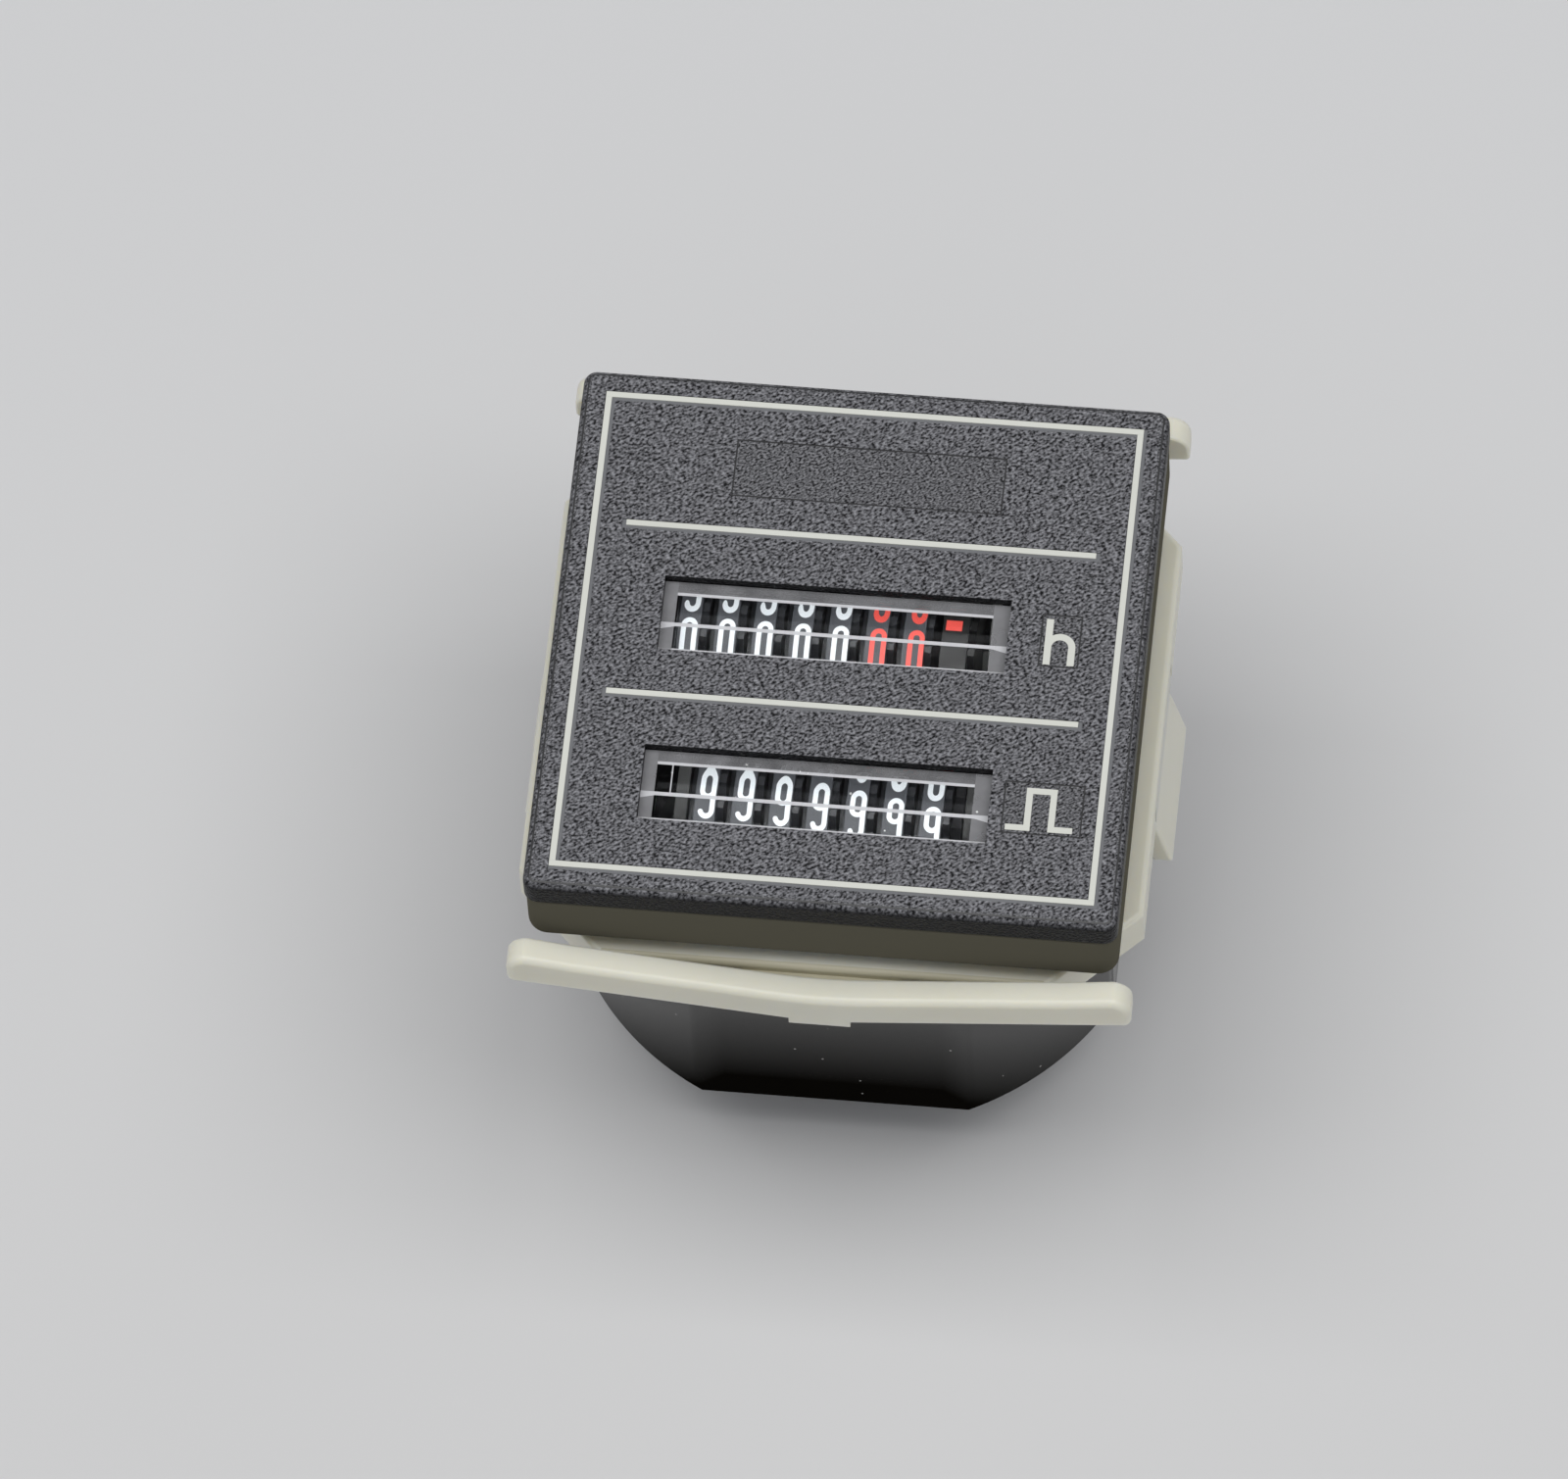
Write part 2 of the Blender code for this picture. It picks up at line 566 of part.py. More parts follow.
def make_clamp_frame(material):
    """One-piece nylon frame: ring round the body, a bowed leaf on two sides, a latch on the others."""
    side = CLAMP_SIDE
    cornered = side - CLAMP_CORNER
    edge = [
        (side, cornered), (cornered, side), (-cornered, side), (-side, cornered),
        (-side, -cornered), (-cornered, -side), (cornered, -side), (side, -cornered),
    ]
    opening = circle_with_flats(BODY_RADIUS + CLAMP_GAP, BODY_FLAT + RATCHET_HEIGHT + CLAMP_GAP)
    ring_middle = CLAMP_RING_TOP + CLAMP_RING_HEIGHT / 2
    ring = plate([edge, opening], CLAMP_RING_HEIGHT, Matrix.Translation((0.0, 0.0, z_at(ring_middle))))
    slots = []
    for x_way in (-1, 1):
        for y_way in (-1, 1):
            x_ends = (x_way * (BODY_FLAT - MM), x_way * (side + MM))
            y_ends = (y_way * (LATCH_WIDTH / 2 - LATCH_STEP), y_way * (LATCH_WIDTH / 2 + LATCH_SLOT))
            slots.append(block(
                min(x_ends), max(x_ends), min(y_ends), max(y_ends),
                CLAMP_RING_TOP + CLAMP_RING_HEIGHT - LATCH_SLOT_HEIGHT,
                CLAMP_RING_TOP + CLAMP_RING_HEIGHT + MM,
            ))
    for way in (-1, 1):
        y_ends = (way * (cornered + LATCH_SLOT), way * (side + MM))
        slots.append(block(
            -side, side, min(y_ends), max(y_ends),
            CLAMP_RING_TOP + CLAMP_LEAF_SIDE_HEIGHT, CLAMP_RING_TOP + CLAMP_RING_HEIGHT + MM,
        ))
    stand_up = Matrix.Rotation(math.pi / 2, 4, "X")
    pieces = []
    leaf_y = LEAF_INNER_Y + LEAF_THICK / 2
    root_top = LEAF_END_DEPTH + LEAF_BOW + LEAF_HEIGHT / 3
    root_bottom = CLAMP_RING_TOP + CLAMP_LEAF_SIDE_HEIGHT * 0.75
    opening_y = BODY_FLAT + RATCHET_HEIGHT + CLAMP_GAP
    for way in (-1, 1):
        leaf_place = Matrix.Translation((0.0, way * leaf_y, 0.0))
        pieces.append(plate([leaf_outline()], LEAF_THICK, leaf_place @ stand_up))
        y_ends = (way * (opening_y + LEAF_ROOT_INSET), way * leaf_y)
        pieces.append(block(
            -LEAF_ROOT_WIDTH / 2, LEAF_ROOT_WIDTH / 2, min(y_ends), max(y_ends), root_top, root_bottom,
        ))
        pieces.append(plate([latch_outline(way)], LATCH_WIDTH, stand_up))
    add_part("clamp_frame", join(cut(ring, *slots), *pieces), material)


# Number wheels and pinions

def wheel_mesh(width, teeth, carry):
    """Drum with a ring of teeth on its right side and, if asked, a carry disc on its left."""
    drum = rod(DRUM_RADIUS, width, DRUM_FACETS, start=(0.0, 0.0, -width / 2))
    overlap = width / 4
    ring_middle = width / 2 + (RING_WIDTH - overlap) / 2
    ring = plate([gear_outline(teeth)], RING_WIDTH + overlap, Matrix.Translation((0.0, 0.0, ring_middle)))
    pieces = [drum, ring]
    if carry:
        pieces.append(rod(CARRY_RADIUS, CARRY_WIDTH + overlap, DRUM_FACETS // 2, start=(0.0, 0.0, -width / 2 - CARRY_WIDTH)))
    hole = bore(WHEEL_SHAFT_RADIUS + BORE_CLEARANCE, -width, width)
    return cut(join(*pieces), hole)


def wheel_xs(first):
    """Places of one row's number wheels along the shaft."""
    return [first + i * WHEEL_PITCH for i in range(WHEEL_COUNT)]


def make_wheels(drum_material, indicator_material):
    """Both rows of number wheels and the run indicator beside the upper one."""
    number_wheel = wheel_mesh(DRUM_WIDTH, RING_TEETH, True)
    rows = (("hour", HOUR_FIRST_X, HOUR_ROW_Y), ("count", COUNT_FIRST_X, COUNT_ROW_Y))
    for row, first, row_y in rows:
        for number, x in enumerate(wheel_xs(first), start=1):
            place = (x, row_y, z_at(WHEEL_DEPTH))
            add_part(f"{row}_wheel_{number}", number_wheel, drum_material, place, ALONG_X, True)
    indicator = wheel_mesh(INDICATOR_WIDTH, RING_TEETH, False)
    place = (INDICATOR_X, HOUR_ROW_Y, z_at(WHEEL_DEPTH))
    add_part("run_indicator", indicator, indicator_material, place, ALONG_X, True)


def make_pinions(material):
    """Transfer pinions behind the wheels, each in the gap to the right of its wheel."""
    phase = meshed_tooth_angle(0.0, 0.0, RING_TEETH, PINION_TEETH)
    solid = plate([gear_outline(PINION_TEETH, phase)], PINION_WIDTH)
    hole = bore(PINION_SHAFT_RADIUS + BORE_CLEARANCE, -PINION_WIDTH, PINION_WIDTH)
    pinion = cut(solid, hole)
    offset = DRUM_WIDTH / 2 + RUNNING + PINION_WIDTH / 2
    rows = (
        ("hour", wheel_xs(HOUR_FIRST_X), HOUR_ROW_Y),
        ("count", wheel_xs(COUNT_FIRST_X)[:-1], COUNT_ROW_Y),
    )
    for row, places, row_y in rows:
        for number, x in enumerate(places, start=1):
            place = (x + offset, row_y, z_at(PINION_DEPTH))
            add_part(f"{row}_pinion_{number}", pinion, material, place, ALONG_X)


def make_shafts(material):
    """Fixed shafts of the wheels and the pinions, each the length across its frame."""
    rows = (
        ("hour", HOUR_PLATE_LEFT, HOUR_PLATE_RIGHT + PLATE_THICK, HOUR_ROW_Y),
        ("count", COUNT_PLATE_LEFT, COUNT_PLATE_RIGHT + PLATE_THICK, COUNT_ROW_Y),
    )
    for row, left, right, row_y in rows:
        wheel_shaft = rod(WHEEL_SHAFT_RADIUS, right - left, 8, along="X")
        add_part(f"{row}_wheel_shaft", wheel_shaft, material, (left, row_y, z_at(WHEEL_DEPTH)), smooth=True)
        pinion_shaft = rod(PINION_SHAFT_RADIUS, right - left, 8, along="X")
        add_part(f"{row}_pinion_shaft", pinion_shaft, material, (left, row_y, z_at(PINION_DEPTH)), smooth=True)
    idler_length = HOUR_PLATE_RIGHT + PLATE_THICK - IDLER_PINION_X
    idler_shaft = rod(PINION_SHAFT_RADIUS, idler_length, 8, along="X")
    add_part("idler_shaft", idler_shaft, material, (IDLER_PINION_X, IDLER_Y, z_at(IDLER_DEPTH)), smooth=True)


# Hours drive

def make_hours_drive(case_material, gear_material):
    """Small motor, its pinion and the idler gear that drives the run indicator."""
    pinion_phase = meshed_tooth_angle(0.0, IDLER_ANGLE, RING_TEETH, PINION_TEETH)
    overlap = IDLER_WIDTH / 4
    pinion = plate(
        [gear_outline(PINION_TEETH, pinion_phase)], IDLER_WIDTH + overlap,
        Matrix.Translation((0.0, 0.0, (IDLER_WIDTH + overlap) / 2)),
    )
    wheel = plate([gear_outline(IDLER_TEETH)], IDLER_WIDTH, Matrix.Translation((0.0, 0.0, IDLER_WIDTH * 1.5)))
    hole = bore(PINION_SHAFT_RADIUS + BORE_CLEARANCE, -MM, 2 * IDLER_WIDTH + MM)
    idler = cut(join(pinion, wheel), hole)
    add_part("idler_gear", idler, gear_material, (IDLER_PINION_X, IDLER_Y, z_at(IDLER_DEPTH)), ALONG_X)

    motor_left = IDLER_PINION_X - SEAT - MOTOR_LENGTH
    case = rod(MOTOR_RADIUS, MOTOR_LENGTH, 24, along="X")
    hollow = rod(
        PINION_SHAFT_RADIUS + BORE_CLEARANCE, MOTOR_SHAFT_IN + MM, 8, along="X",
        start=(MOTOR_LENGTH - MOTOR_SHAFT_IN, 0.0, 0.0),
    )
    motor = cut(case, hollow)
    add_part("hour_motor", motor, case_material, (motor_left, MOTOR_Y, z_at(MOTOR_DEPTH)), smooth=True)

    shaft_start = motor_left + MOTOR_LENGTH - MOTOR_SHAFT_IN + SEAT
    phase = meshed_tooth_angle(0.0, MOTOR_ANGLE, IDLER_TEETH, PINION_TEETH)
    teeth_start = IDLER_GEAR_X - shaft_start
    teeth = plate(
        [gear_outline(PINION_TEETH, phase)], IDLER_WIDTH,
        Matrix.Translation((0.0, 0.0, teeth_start + IDLER_WIDTH / 2)),
    )
    shaft = rod(PINION_SHAFT_RADIUS, teeth_start + IDLER_WIDTH / 2, 8)
    rotor = join(teeth, shaft)
    add_part("motor_pinion", rotor, gear_material, (shaft_start, MOTOR_Y, z_at(MOTOR_DEPTH)), ALONG_X)


# Works frames

def shaft_hole(radius, x, y, depth):
    """Cutter for a shaft's seat through one side plate."""
    return rod(radius + BORE_CLEARANCE / 2, 3 * PLATE_THICK, 8, "X", (x - PLATE_THICK, y, z_at(depth)))


def make_works_frame(name, left, right, y_low, y_high, row_y, idler, material):
    """Two side plates that stand on the rear wall, joined by a bridge behind the pinions."""
    foot = FLOOR_DEPTH - SEAT
    left_plate = block(left, left + PLATE_THICK, y_low, y_high, PLATE_FRONT, foot)
    right_plate = block(right, right + PLATE_THICK, y_low, y_high, PLATE_FRONT, foot)
    overlap = PLATE_THICK / 2
    bridge = block(
        left + overlap, right + overlap, y_low, y_high, BRIDGE_DEPTH, BRIDGE_DEPTH + BRIDGE_THICK
    )
    holes = []
    for x in (left, right):
        holes.append(shaft_hole(WHEEL_SHAFT_RADIUS, x, row_y, WHEEL_DEPTH))
        holes.append(shaft_hole(PINION_SHAFT_RADIUS, x, row_y, PINION_DEPTH))
    if idler:
        holes.append(shaft_hole(PINION_SHAFT_RADIUS, right, IDLER_Y, IDLER_DEPTH))
    add_part(name, cut(join(left_plate, right_plate, bridge), *holes), material)


def make_circuit_board(material):
    """Board between the hour frame's legs, over the terminals' heads."""
    x_low = HOUR_PLATE_LEFT + PLATE_THICK + SEAT
    x_high = HOUR_PLATE_RIGHT - SEAT
    board = block(x_low, x_high, BOARD_LOW_Y, HOUR_FRAME_HIGH_Y, BOARD_DEPTH, BOARD_DEPTH + BOARD_THICK)
    add_part("circuit_board", board, material)


# Counting magnet

def make_magnet(steel, coil_material):
    """Bent yoke with its core on the rear wall and the coil round the core."""
    base = block(
        -YOKE_HALF_WIDTH, YOKE_HALF_WIDTH, YOKE_OUTER_Y, YOKE_INNER_Y, YOKE_REAR - YOKE_THICK, YOKE_REAR
    )
    wall = block(
        -YOKE_HALF_WIDTH, YOKE_HALF_WIDTH, YOKE_OUTER_Y, YOKE_OUTER_Y + YOKE_THICK, YOKE_TOP, YOKE_REAR
    )
    core_rear = YOKE_REAR - YOKE_THICK / 2
    core = rod(CORE_RADIUS, core_rear - CORE_TOP, 12, start=(0.0, MAGNET_Y, z_at(core_rear)))
    lug = block(
        -ARMATURE_TAIL_HALF, ARMATURE_TAIL_HALF, ARMATURE_TAIL_Y, YOKE_OUTER_Y + YOKE_THICK / 2,
        SPRING_LUG_DEPTH, SPRING_LUG_DEPTH + YOKE_THICK,
    )
    add_part("magnet_yoke", join(base, wall, core, lug), steel)

    coil_rear = YOKE_REAR - YOKE_THICK - SEAT
    length = coil_rear - COIL_TOP
    winding = rod(COIL_WAIST, length, 16)
    flanges = [
        rod(COIL_RADIUS, COIL_FLANGE, 16),
        rod(COIL_RADIUS, COIL_FLANGE, 16, start=(0.0, 0.0, length - COIL_FLANGE)),
    ]
    hole = rod(CORE_RADIUS + BORE_CLEARANCE, length + 2 * MM, 12, start=(0.0, 0.0, -MM))
    coil = cut(join(winding, *flanges), hole)
    add_part("magnet_coil", coil, coil_material, (0.0, MAGNET_Y, z_at(coil_rear)), smooth=True)


def make_armature(steel):
    """Plate over the core, hinged on the yoke's edge, with the pawl that drives the ratchet wheel."""
    pawl_x = RATCHET_WHEEL_X
    pawl_end_x = pawl_x + RATCHET_WHEEL_WIDTH
    pawl_rear_y = PAWL_Y + PAWL_THICK
    main = block(
        -YOKE_HALF_WIDTH, YOKE_HALF_WIDTH, YOKE_OUTER_Y, pawl_rear_y, ARMATURE_FRONT, ARMATURE_REAR
    )
    wing = block(0.0, pawl_end_x, pawl_rear_y - 2 * PAWL_THICK, pawl_rear_y, ARMATURE_FRONT, ARMATURE_REAR)
    tail = block(
        -ARMATURE_TAIL_HALF, ARMATURE_TAIL_HALF, ARMATURE_TAIL_Y, YOKE_INNER_Y, ARMATURE_FRONT, ARMATURE_REAR
    )
    finger = block(pawl_x, pawl_end_x, PAWL_Y, pawl_rear_y, PAWL_TOP, ARMATURE_REAR)
    hook = block(
        pawl_x, pawl_end_x, PAWL_Y - PAWL_HOOK, pawl_rear_y - PAWL_THICK / 2, PAWL_TOP, PAWL_TOP + PAWL_THICK
    )
    mesh = join(main, wing, tail, finger, hook)
    place = (0.0, HINGE_Y, z_at(ARMATURE_REAR))
    mesh.transform(Matrix.Translation(place).inverted())
    add_part("armature", mesh, steel, place)


def make_ratchet_wheel(material):
    """Saw-toothed wheel beside the last count wheel, which the pawl turns."""
    step = 2 * math.pi / RATCHET_WHEEL_TEETH
    points = []
    for i in range(RATCHET_WHEEL_TEETH):
        angle = i * step
        points.append((RATCHET_WHEEL_RADIUS * math.cos(angle), RATCHET_WHEEL_RADIUS * math.sin(angle)))
        points.append((RATCHET_WHEEL_ROOT * math.cos(angle + 0.1), RATCHET_WHEEL_ROOT * math.sin(angle + 0.1)))
    disc = plate([points], RATCHET_WHEEL_WIDTH, Matrix.Translation((0.0, 0.0, RATCHET_WHEEL_WIDTH / 2)))
    hole = bore(WHEEL_SHAFT_RADIUS + BORE_CLEARANCE, -MM, RATCHET_WHEEL_WIDTH + MM)
    place = (RATCHET_WHEEL_X, COUNT_ROW_Y, z_at(WHEEL_DEPTH))
    add_part("count_ratchet", cut(disc, hole), material, place, ALONG_X)


def make_armature_spring(material):
    """Coil spring that pulls the armature's tail back."""
    top = ARMATURE_REAR + SEAT + SPRING_WIRE
    bottom = SPRING_LUG_DEPTH - SEAT - SPRING_WIRE
    count = SPRING_TURNS * SPRING_POINTS_A_TURN
    curve = bpy.data.curves.new("spring", "CURVE")
    curve.dimensions = "3D"
    curve.bevel_depth = SPRING_WIRE
    curve.bevel_resolution = 0
    curve.use_fill_caps = True
    spline = curve.splines.new("POLY")
    spline.points.add(count)
    for i, point in enumerate(spline.points):
        angle = 2 * math.pi * i / SPRING_POINTS_A_TURN
        height = (z_at(top) - z_at(bottom)) * i / count
        point.co = (SPRING_RADIUS * math.cos(angle), SPRING_RADIUS * math.sin(angle), height, 1.0)
    curve.materials.append(material)
    spring = bpy.data.objects.new("armature_spring", curve)
    spring.location = (0.0, SPRING_Y, z_at(bottom))
    bpy.data.collections["hour_meter"].objects.link(spring)


def build():
    """Clear the scene and make every piece."""
    for item in list(bpy.data.objects):
        bpy.data.objects.remove(item, do_unlink=True)
    collection = bpy.data.collections.new("hour_meter")
    bpy.context.scene.collection.children.link(collection)

    grained = make_material("black_grained_plastic", (0.02, 0.02, 0.022), 0.45)
    gloss = make_material("black_gloss_plastic", (0.015, 0.014, 0.013), 0.18)
    clear = make_material("clear_plastic", (0.9, 0.9, 0.9), 0.05, alpha=0.3)
    nylon = make_material("natural_nylon", (0.80, 0.78, 0.66), 0.4)
    drum = make_material("grey_wheel_plastic", (0.05, 0.055, 0.065), 0.5)
    pinion = make_material("white_acetal", (0.75, 0.75, 0.72), 0.4)
    frame = make_material("black_frame_plastic", (0.03, 0.03, 0.03), 0.5)
    steel = make_material("plated_steel", (0.6, 0.6, 0.6), 0.3, 1.0)
    tinned = make_material("tinned_brass", (0.75, 0.74, 0.70), 0.25, 1.0)
    copper = make_material("lacquered_copper", (0.55, 0.20, 0.08), 0.35)
    green = make_material("green_board", (0.03, 0.18, 0.07), 0.4)

    make_front_cap(grained)
    make_lens("hour_lens", HOUR_ROW_Y, clear)
    make_lens("count_lens", COUNT_ROW_Y, clear)
    make_housing(gloss)
    make_clamp_frame(nylon)
    make_terminals(tinned)
    make_works_frame(
        "hour_frame", HOUR_PLATE_LEFT, HOUR_PLATE_RIGHT, HOUR_FRAME_LOW_Y, HOUR_FRAME_HIGH_Y,
        HOUR_ROW_Y, True, frame,
    )
    make_works_frame(
        "count_frame", COUNT_PLATE_LEFT, COUNT_PLATE_RIGHT, COUNT_FRAME_LOW_Y, COUNT_FRAME_HIGH_Y,
        COUNT_ROW_Y, False, frame,
    )
    make_wheels(drum, drum)
    make_pinions(pinion)
    make_shafts(steel)
    make_hours_drive(steel, pinion)
    make_circuit_board(green)
    make_magnet(steel, copper)
    make_armature(steel)
    make_ratchet_wheel(pinion)
    make_armature_spring(steel)


build()
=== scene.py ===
import json
import math

import bmesh
import bpy
from mathutils import Matrix, Vector


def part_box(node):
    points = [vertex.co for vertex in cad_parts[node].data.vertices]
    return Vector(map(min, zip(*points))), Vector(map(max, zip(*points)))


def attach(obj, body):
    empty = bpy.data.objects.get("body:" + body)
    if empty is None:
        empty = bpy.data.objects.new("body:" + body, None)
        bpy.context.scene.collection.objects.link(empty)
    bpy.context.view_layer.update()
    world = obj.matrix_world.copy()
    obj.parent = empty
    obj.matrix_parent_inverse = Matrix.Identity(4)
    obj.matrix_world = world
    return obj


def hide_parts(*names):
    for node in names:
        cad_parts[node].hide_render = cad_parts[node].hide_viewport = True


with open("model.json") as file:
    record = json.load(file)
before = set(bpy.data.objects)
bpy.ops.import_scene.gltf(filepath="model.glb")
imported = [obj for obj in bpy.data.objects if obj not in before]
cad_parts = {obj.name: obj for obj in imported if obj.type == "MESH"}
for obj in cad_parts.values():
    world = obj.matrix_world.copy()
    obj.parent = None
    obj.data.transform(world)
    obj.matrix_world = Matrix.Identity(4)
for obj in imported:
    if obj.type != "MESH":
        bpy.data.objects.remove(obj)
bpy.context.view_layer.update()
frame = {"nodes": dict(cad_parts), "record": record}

# Camera: a long lens from high above the lower edge of the face, turned a little to the right.
# The meter stands on its terminals with the face up, 46 mm above the table.

MM = 0.001
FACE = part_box("front_cap")[1].z
azimuth, elevation, roll = (math.radians(a) for a in (9.377, 61.353, -4.036))
back = Vector((
    math.sin(azimuth) * math.cos(elevation), -math.cos(azimuth) * math.cos(elevation), math.sin(elevation),
))
level = Vector((math.cos(azimuth), math.sin(azimuth), 0.0))
upright = back.cross(level)
right = level * math.cos(roll) + upright * math.sin(roll)
up = upright * math.cos(roll) - level * math.sin(roll)
camera = bpy.data.objects.new("camera", bpy.data.cameras.new("camera"))
camera.data.sensor_width = 36.0
camera.data.lens = 398.35
camera_place = Vector((0.0, 0.0, FACE)) + (back * 1402.4 - right * 5.188 - up * 7.552) * MM
camera.matrix_world = Matrix.Translation(camera_place) @ Matrix((right, up, back)).transposed().to_4x4()
bpy.context.scene.collection.objects.link(camera)
bpy.context.scene.camera = camera
bpy.context.scene.view_settings.view_transform = "Standard"

# Table and lights: a plain pale table under two softboxes that hang over the meter, left and right, and
# throw soft shadows on both sides. The room is an even light grey, with a dark panel high behind the meter.


def node_material(name):
    """A material with its shader and its node tree at hand."""
    material = bpy.data.materials.new(name)
    material.use_nodes = True
    return material, material.node_tree, material.node_tree.nodes["Principled BSDF"]


def softbox(name, place, width, depth, watts):
    """A square lamp that looks at the meter."""
    lamp = bpy.data.lights.new(name, "AREA")
    lamp.shape = "RECTANGLE"
    lamp.size = width
    lamp.size_y = depth
    lamp.energy = watts
    holder = bpy.data.objects.new(name, lamp)
    holder.location = place
    holder.rotation_euler = (Vector(place) - Vector((0.0, 0.0, 0.03))).to_track_quat("Z", "Y").to_euler()
    bpy.context.scene.collection.objects.link(holder)


for name, x in (("softbox_left", -0.20), ("softbox_right", 0.20)):
    softbox(name, (x, -0.03, 0.62), 0.40, 0.40, 1.5)
world = bpy.data.worlds.new("room")
world.use_nodes = True
tree = world.node_tree
direction = tree.nodes.new("ShaderNodeTexCoord")
toward = tree.nodes.new("ShaderNodeVectorMath")
toward.operation = "DOT_PRODUCT"
toward.inputs[1].default_value = (-0.08, 0.47, 0.88)
panel = tree.nodes.new("ShaderNodeMapRange")
panel.interpolation_type = "SMOOTHSTEP"
panel.inputs["From Min"].default_value = math.cos(math.radians(42.0))
panel.inputs["From Max"].default_value = math.cos(math.radians(18.0))
room_tone = tree.nodes.new("ShaderNodeMix")
room_tone.data_type = "RGBA"
room_tone.inputs["A"].default_value = (0.47, 0.48, 0.50, 1.0)
room_tone.inputs["B"].default_value = (0.05, 0.05, 0.055, 1.0)
tree.links.new(direction.outputs["Generated"], toward.inputs[0])
tree.links.new(toward.outputs["Value"], panel.inputs["Value"])
tree.links.new(panel.outputs["Result"], room_tone.inputs["Factor"])
tree.links.new(room_tone.outputs["Result"], tree.nodes["Background"].inputs["Color"])
bpy.context.scene.world = world

table_mesh = bpy.data.meshes.new("table")
table_mesh.from_pydata([(-2, -2, 0), (2, -2, 0), (2, 2, 0), (-2, 2, 0)], [], [(0, 1, 2, 3)])
table = bpy.data.objects.new("table", table_mesh)
bpy.context.scene.collection.objects.link(table)
table_paper, tree, shader = node_material("table_paper")
# The table's colour is painted slightly darker and warmer toward the front: painted shade.
on_table = tree.nodes.new("ShaderNodeTexCoord")
split = tree.nodes.new("ShaderNodeSeparateXYZ")
front_shade = tree.nodes.new("ShaderNodeMapRange")
front_shade.inputs["From Min"].default_value = -0.10
front_shade.inputs["From Max"].default_value = 0.10
tone = tree.nodes.new("ShaderNodeMix")
tone.data_type = "RGBA"
tone.inputs["A"].default_value = (0.63, 0.625, 0.62, 1.0)
tone.inputs["B"].default_value = (0.65, 0.65, 0.65, 1.0)
tree.links.new(on_table.outputs["Object"], split.inputs["Vector"])
tree.links.new(split.outputs["Y"], front_shade.inputs["Value"])
tree.links.new(front_shade.outputs["Result"], tone.inputs["Factor"])
tree.links.new(tone.outputs["Result"], shader.inputs["Base Color"])
shader.inputs["Roughness"].default_value = 0.9
table.data.materials.append(table_paper)

# Housing: the black body, injection moulded in one piece from glossy plastic. A square flange carries the
# front cap. Behind it the round body has four flats, and rows of saw teeth on two of them hold the clamp.


def rounded_square(side, corner, steps=10):
    """Outline of a square with round corners, for each inset."""
    def outline(inset):
        half = side / 2 - inset
        radius = max(corner - inset, 0.02 * MM)
        points = []
        for quarter, (x, y) in enumerate(((1, 1), (-1, 1), (-1, -1), (1, -1))):
            for i in range(steps + 1):
                angle = math.pi / 2 * (quarter + i / steps)
                points.append((
                    x * (half - radius) + radius * math.cos(angle),
                    y * (half - radius) + radius * math.sin(angle),
                ))
        return points
    return outline


def circle_with_flats(radius, flat, steps=20):
    """Outline of a circle cut by four flats, for each inset."""
    def outline(inset):
        half = math.acos((flat - inset) / (radius - inset))
        points = []
        for quarter in range(4):
            for i in range(steps + 1):
                angle = math.pi / 2 * quarter + half + (math.pi / 2 - 2 * half) * i / steps
                points.append(((radius - inset) * math.cos(angle), (radius - inset) * math.sin(angle)))
        return points
    return outline


def polygon(corners):
    """Outline of any polygon, given anticlockwise, for each inset."""
    def outline(inset):
        points = []
        for i, corner in enumerate(corners):
            here = Vector(corner)
            along = (here - Vector(corners[i - 1])).normalized()
            onward = (Vector(corners[(i + 1) % len(corners)]) - here).normalized()
            inward = Vector((-along.y - onward.y, along.x + onward.x))
            points.append(here + inward * inset / (1 + along.dot(onward)))
        return points
    return outline


def rectangle(x_low, x_high, y_low, y_high):
    """Outline of a rectangle, for each inset."""
    return polygon([(x_low, y_low), (x_high, y_low), (x_high, y_high), (x_low, y_high)])


def moulding(outline, low, high, low_edge=0.0, high_edge=0.0, steps=5):
    """Closed body between two heights, with round edges at its low and its high end."""
    levels = []
    for i in range(steps + 1 if low_edge else 1):
        angle = math.pi / 2 * i / steps
        levels.append((low + low_edge * (1 - math.cos(angle)), low_edge * (1 - math.sin(angle))))
    for i in range(steps + 1 if high_edge else 1):
        angle = math.pi / 2 * (1 - i / steps)
        levels.append((high - high_edge * (1 - math.cos(angle)), high_edge * (1 - math.sin(angle))))
    shape = bmesh.new()
    loops = [[shape.verts.new((x, y, height)) for x, y in outline(inset)] for height, inset in levels]
    shape.faces.new(list(reversed(loops[0])))
    shape.faces.new(loops[-1])
    for lower, upper in zip(loops, loops[1:]):
        for i in range(len(lower)):
            j = (i + 1) % len(lower)
            shape.faces.new((lower[i], lower[j], upper[j], upper[i]))
    bmesh.ops.recalc_face_normals(shape, faces=shape.faces)
    mesh = bpy.data.meshes.new("moulding")
    shape.to_mesh(mesh)
    shape.free()
    return mesh


def carve(mesh, adds=(), cuts=()):
    """A mesh with others joined to it, and then others cut from it."""
    holder = bpy.data.objects.new("carved", mesh)
    bpy.context.scene.collection.objects.link(holder)
    tools = []
    for operation, operands in (("UNION", adds), ("DIFFERENCE", cuts)):
        for operand in operands:
            tool = bpy.data.objects.new("tool", operand)
            bpy.context.scene.collection.objects.link(tool)
            tools.append(tool)
            step = holder.modifiers.new("step", "BOOLEAN")
            step.operation = operation
            step.solver = "EXACT"
            step.object = tool
    result = bpy.data.meshes.new_from_object(holder.evaluated_get(bpy.context.evaluated_depsgraph_get()))
    for item in tools + [holder]:
        bpy.data.objects.remove(item)
    return result


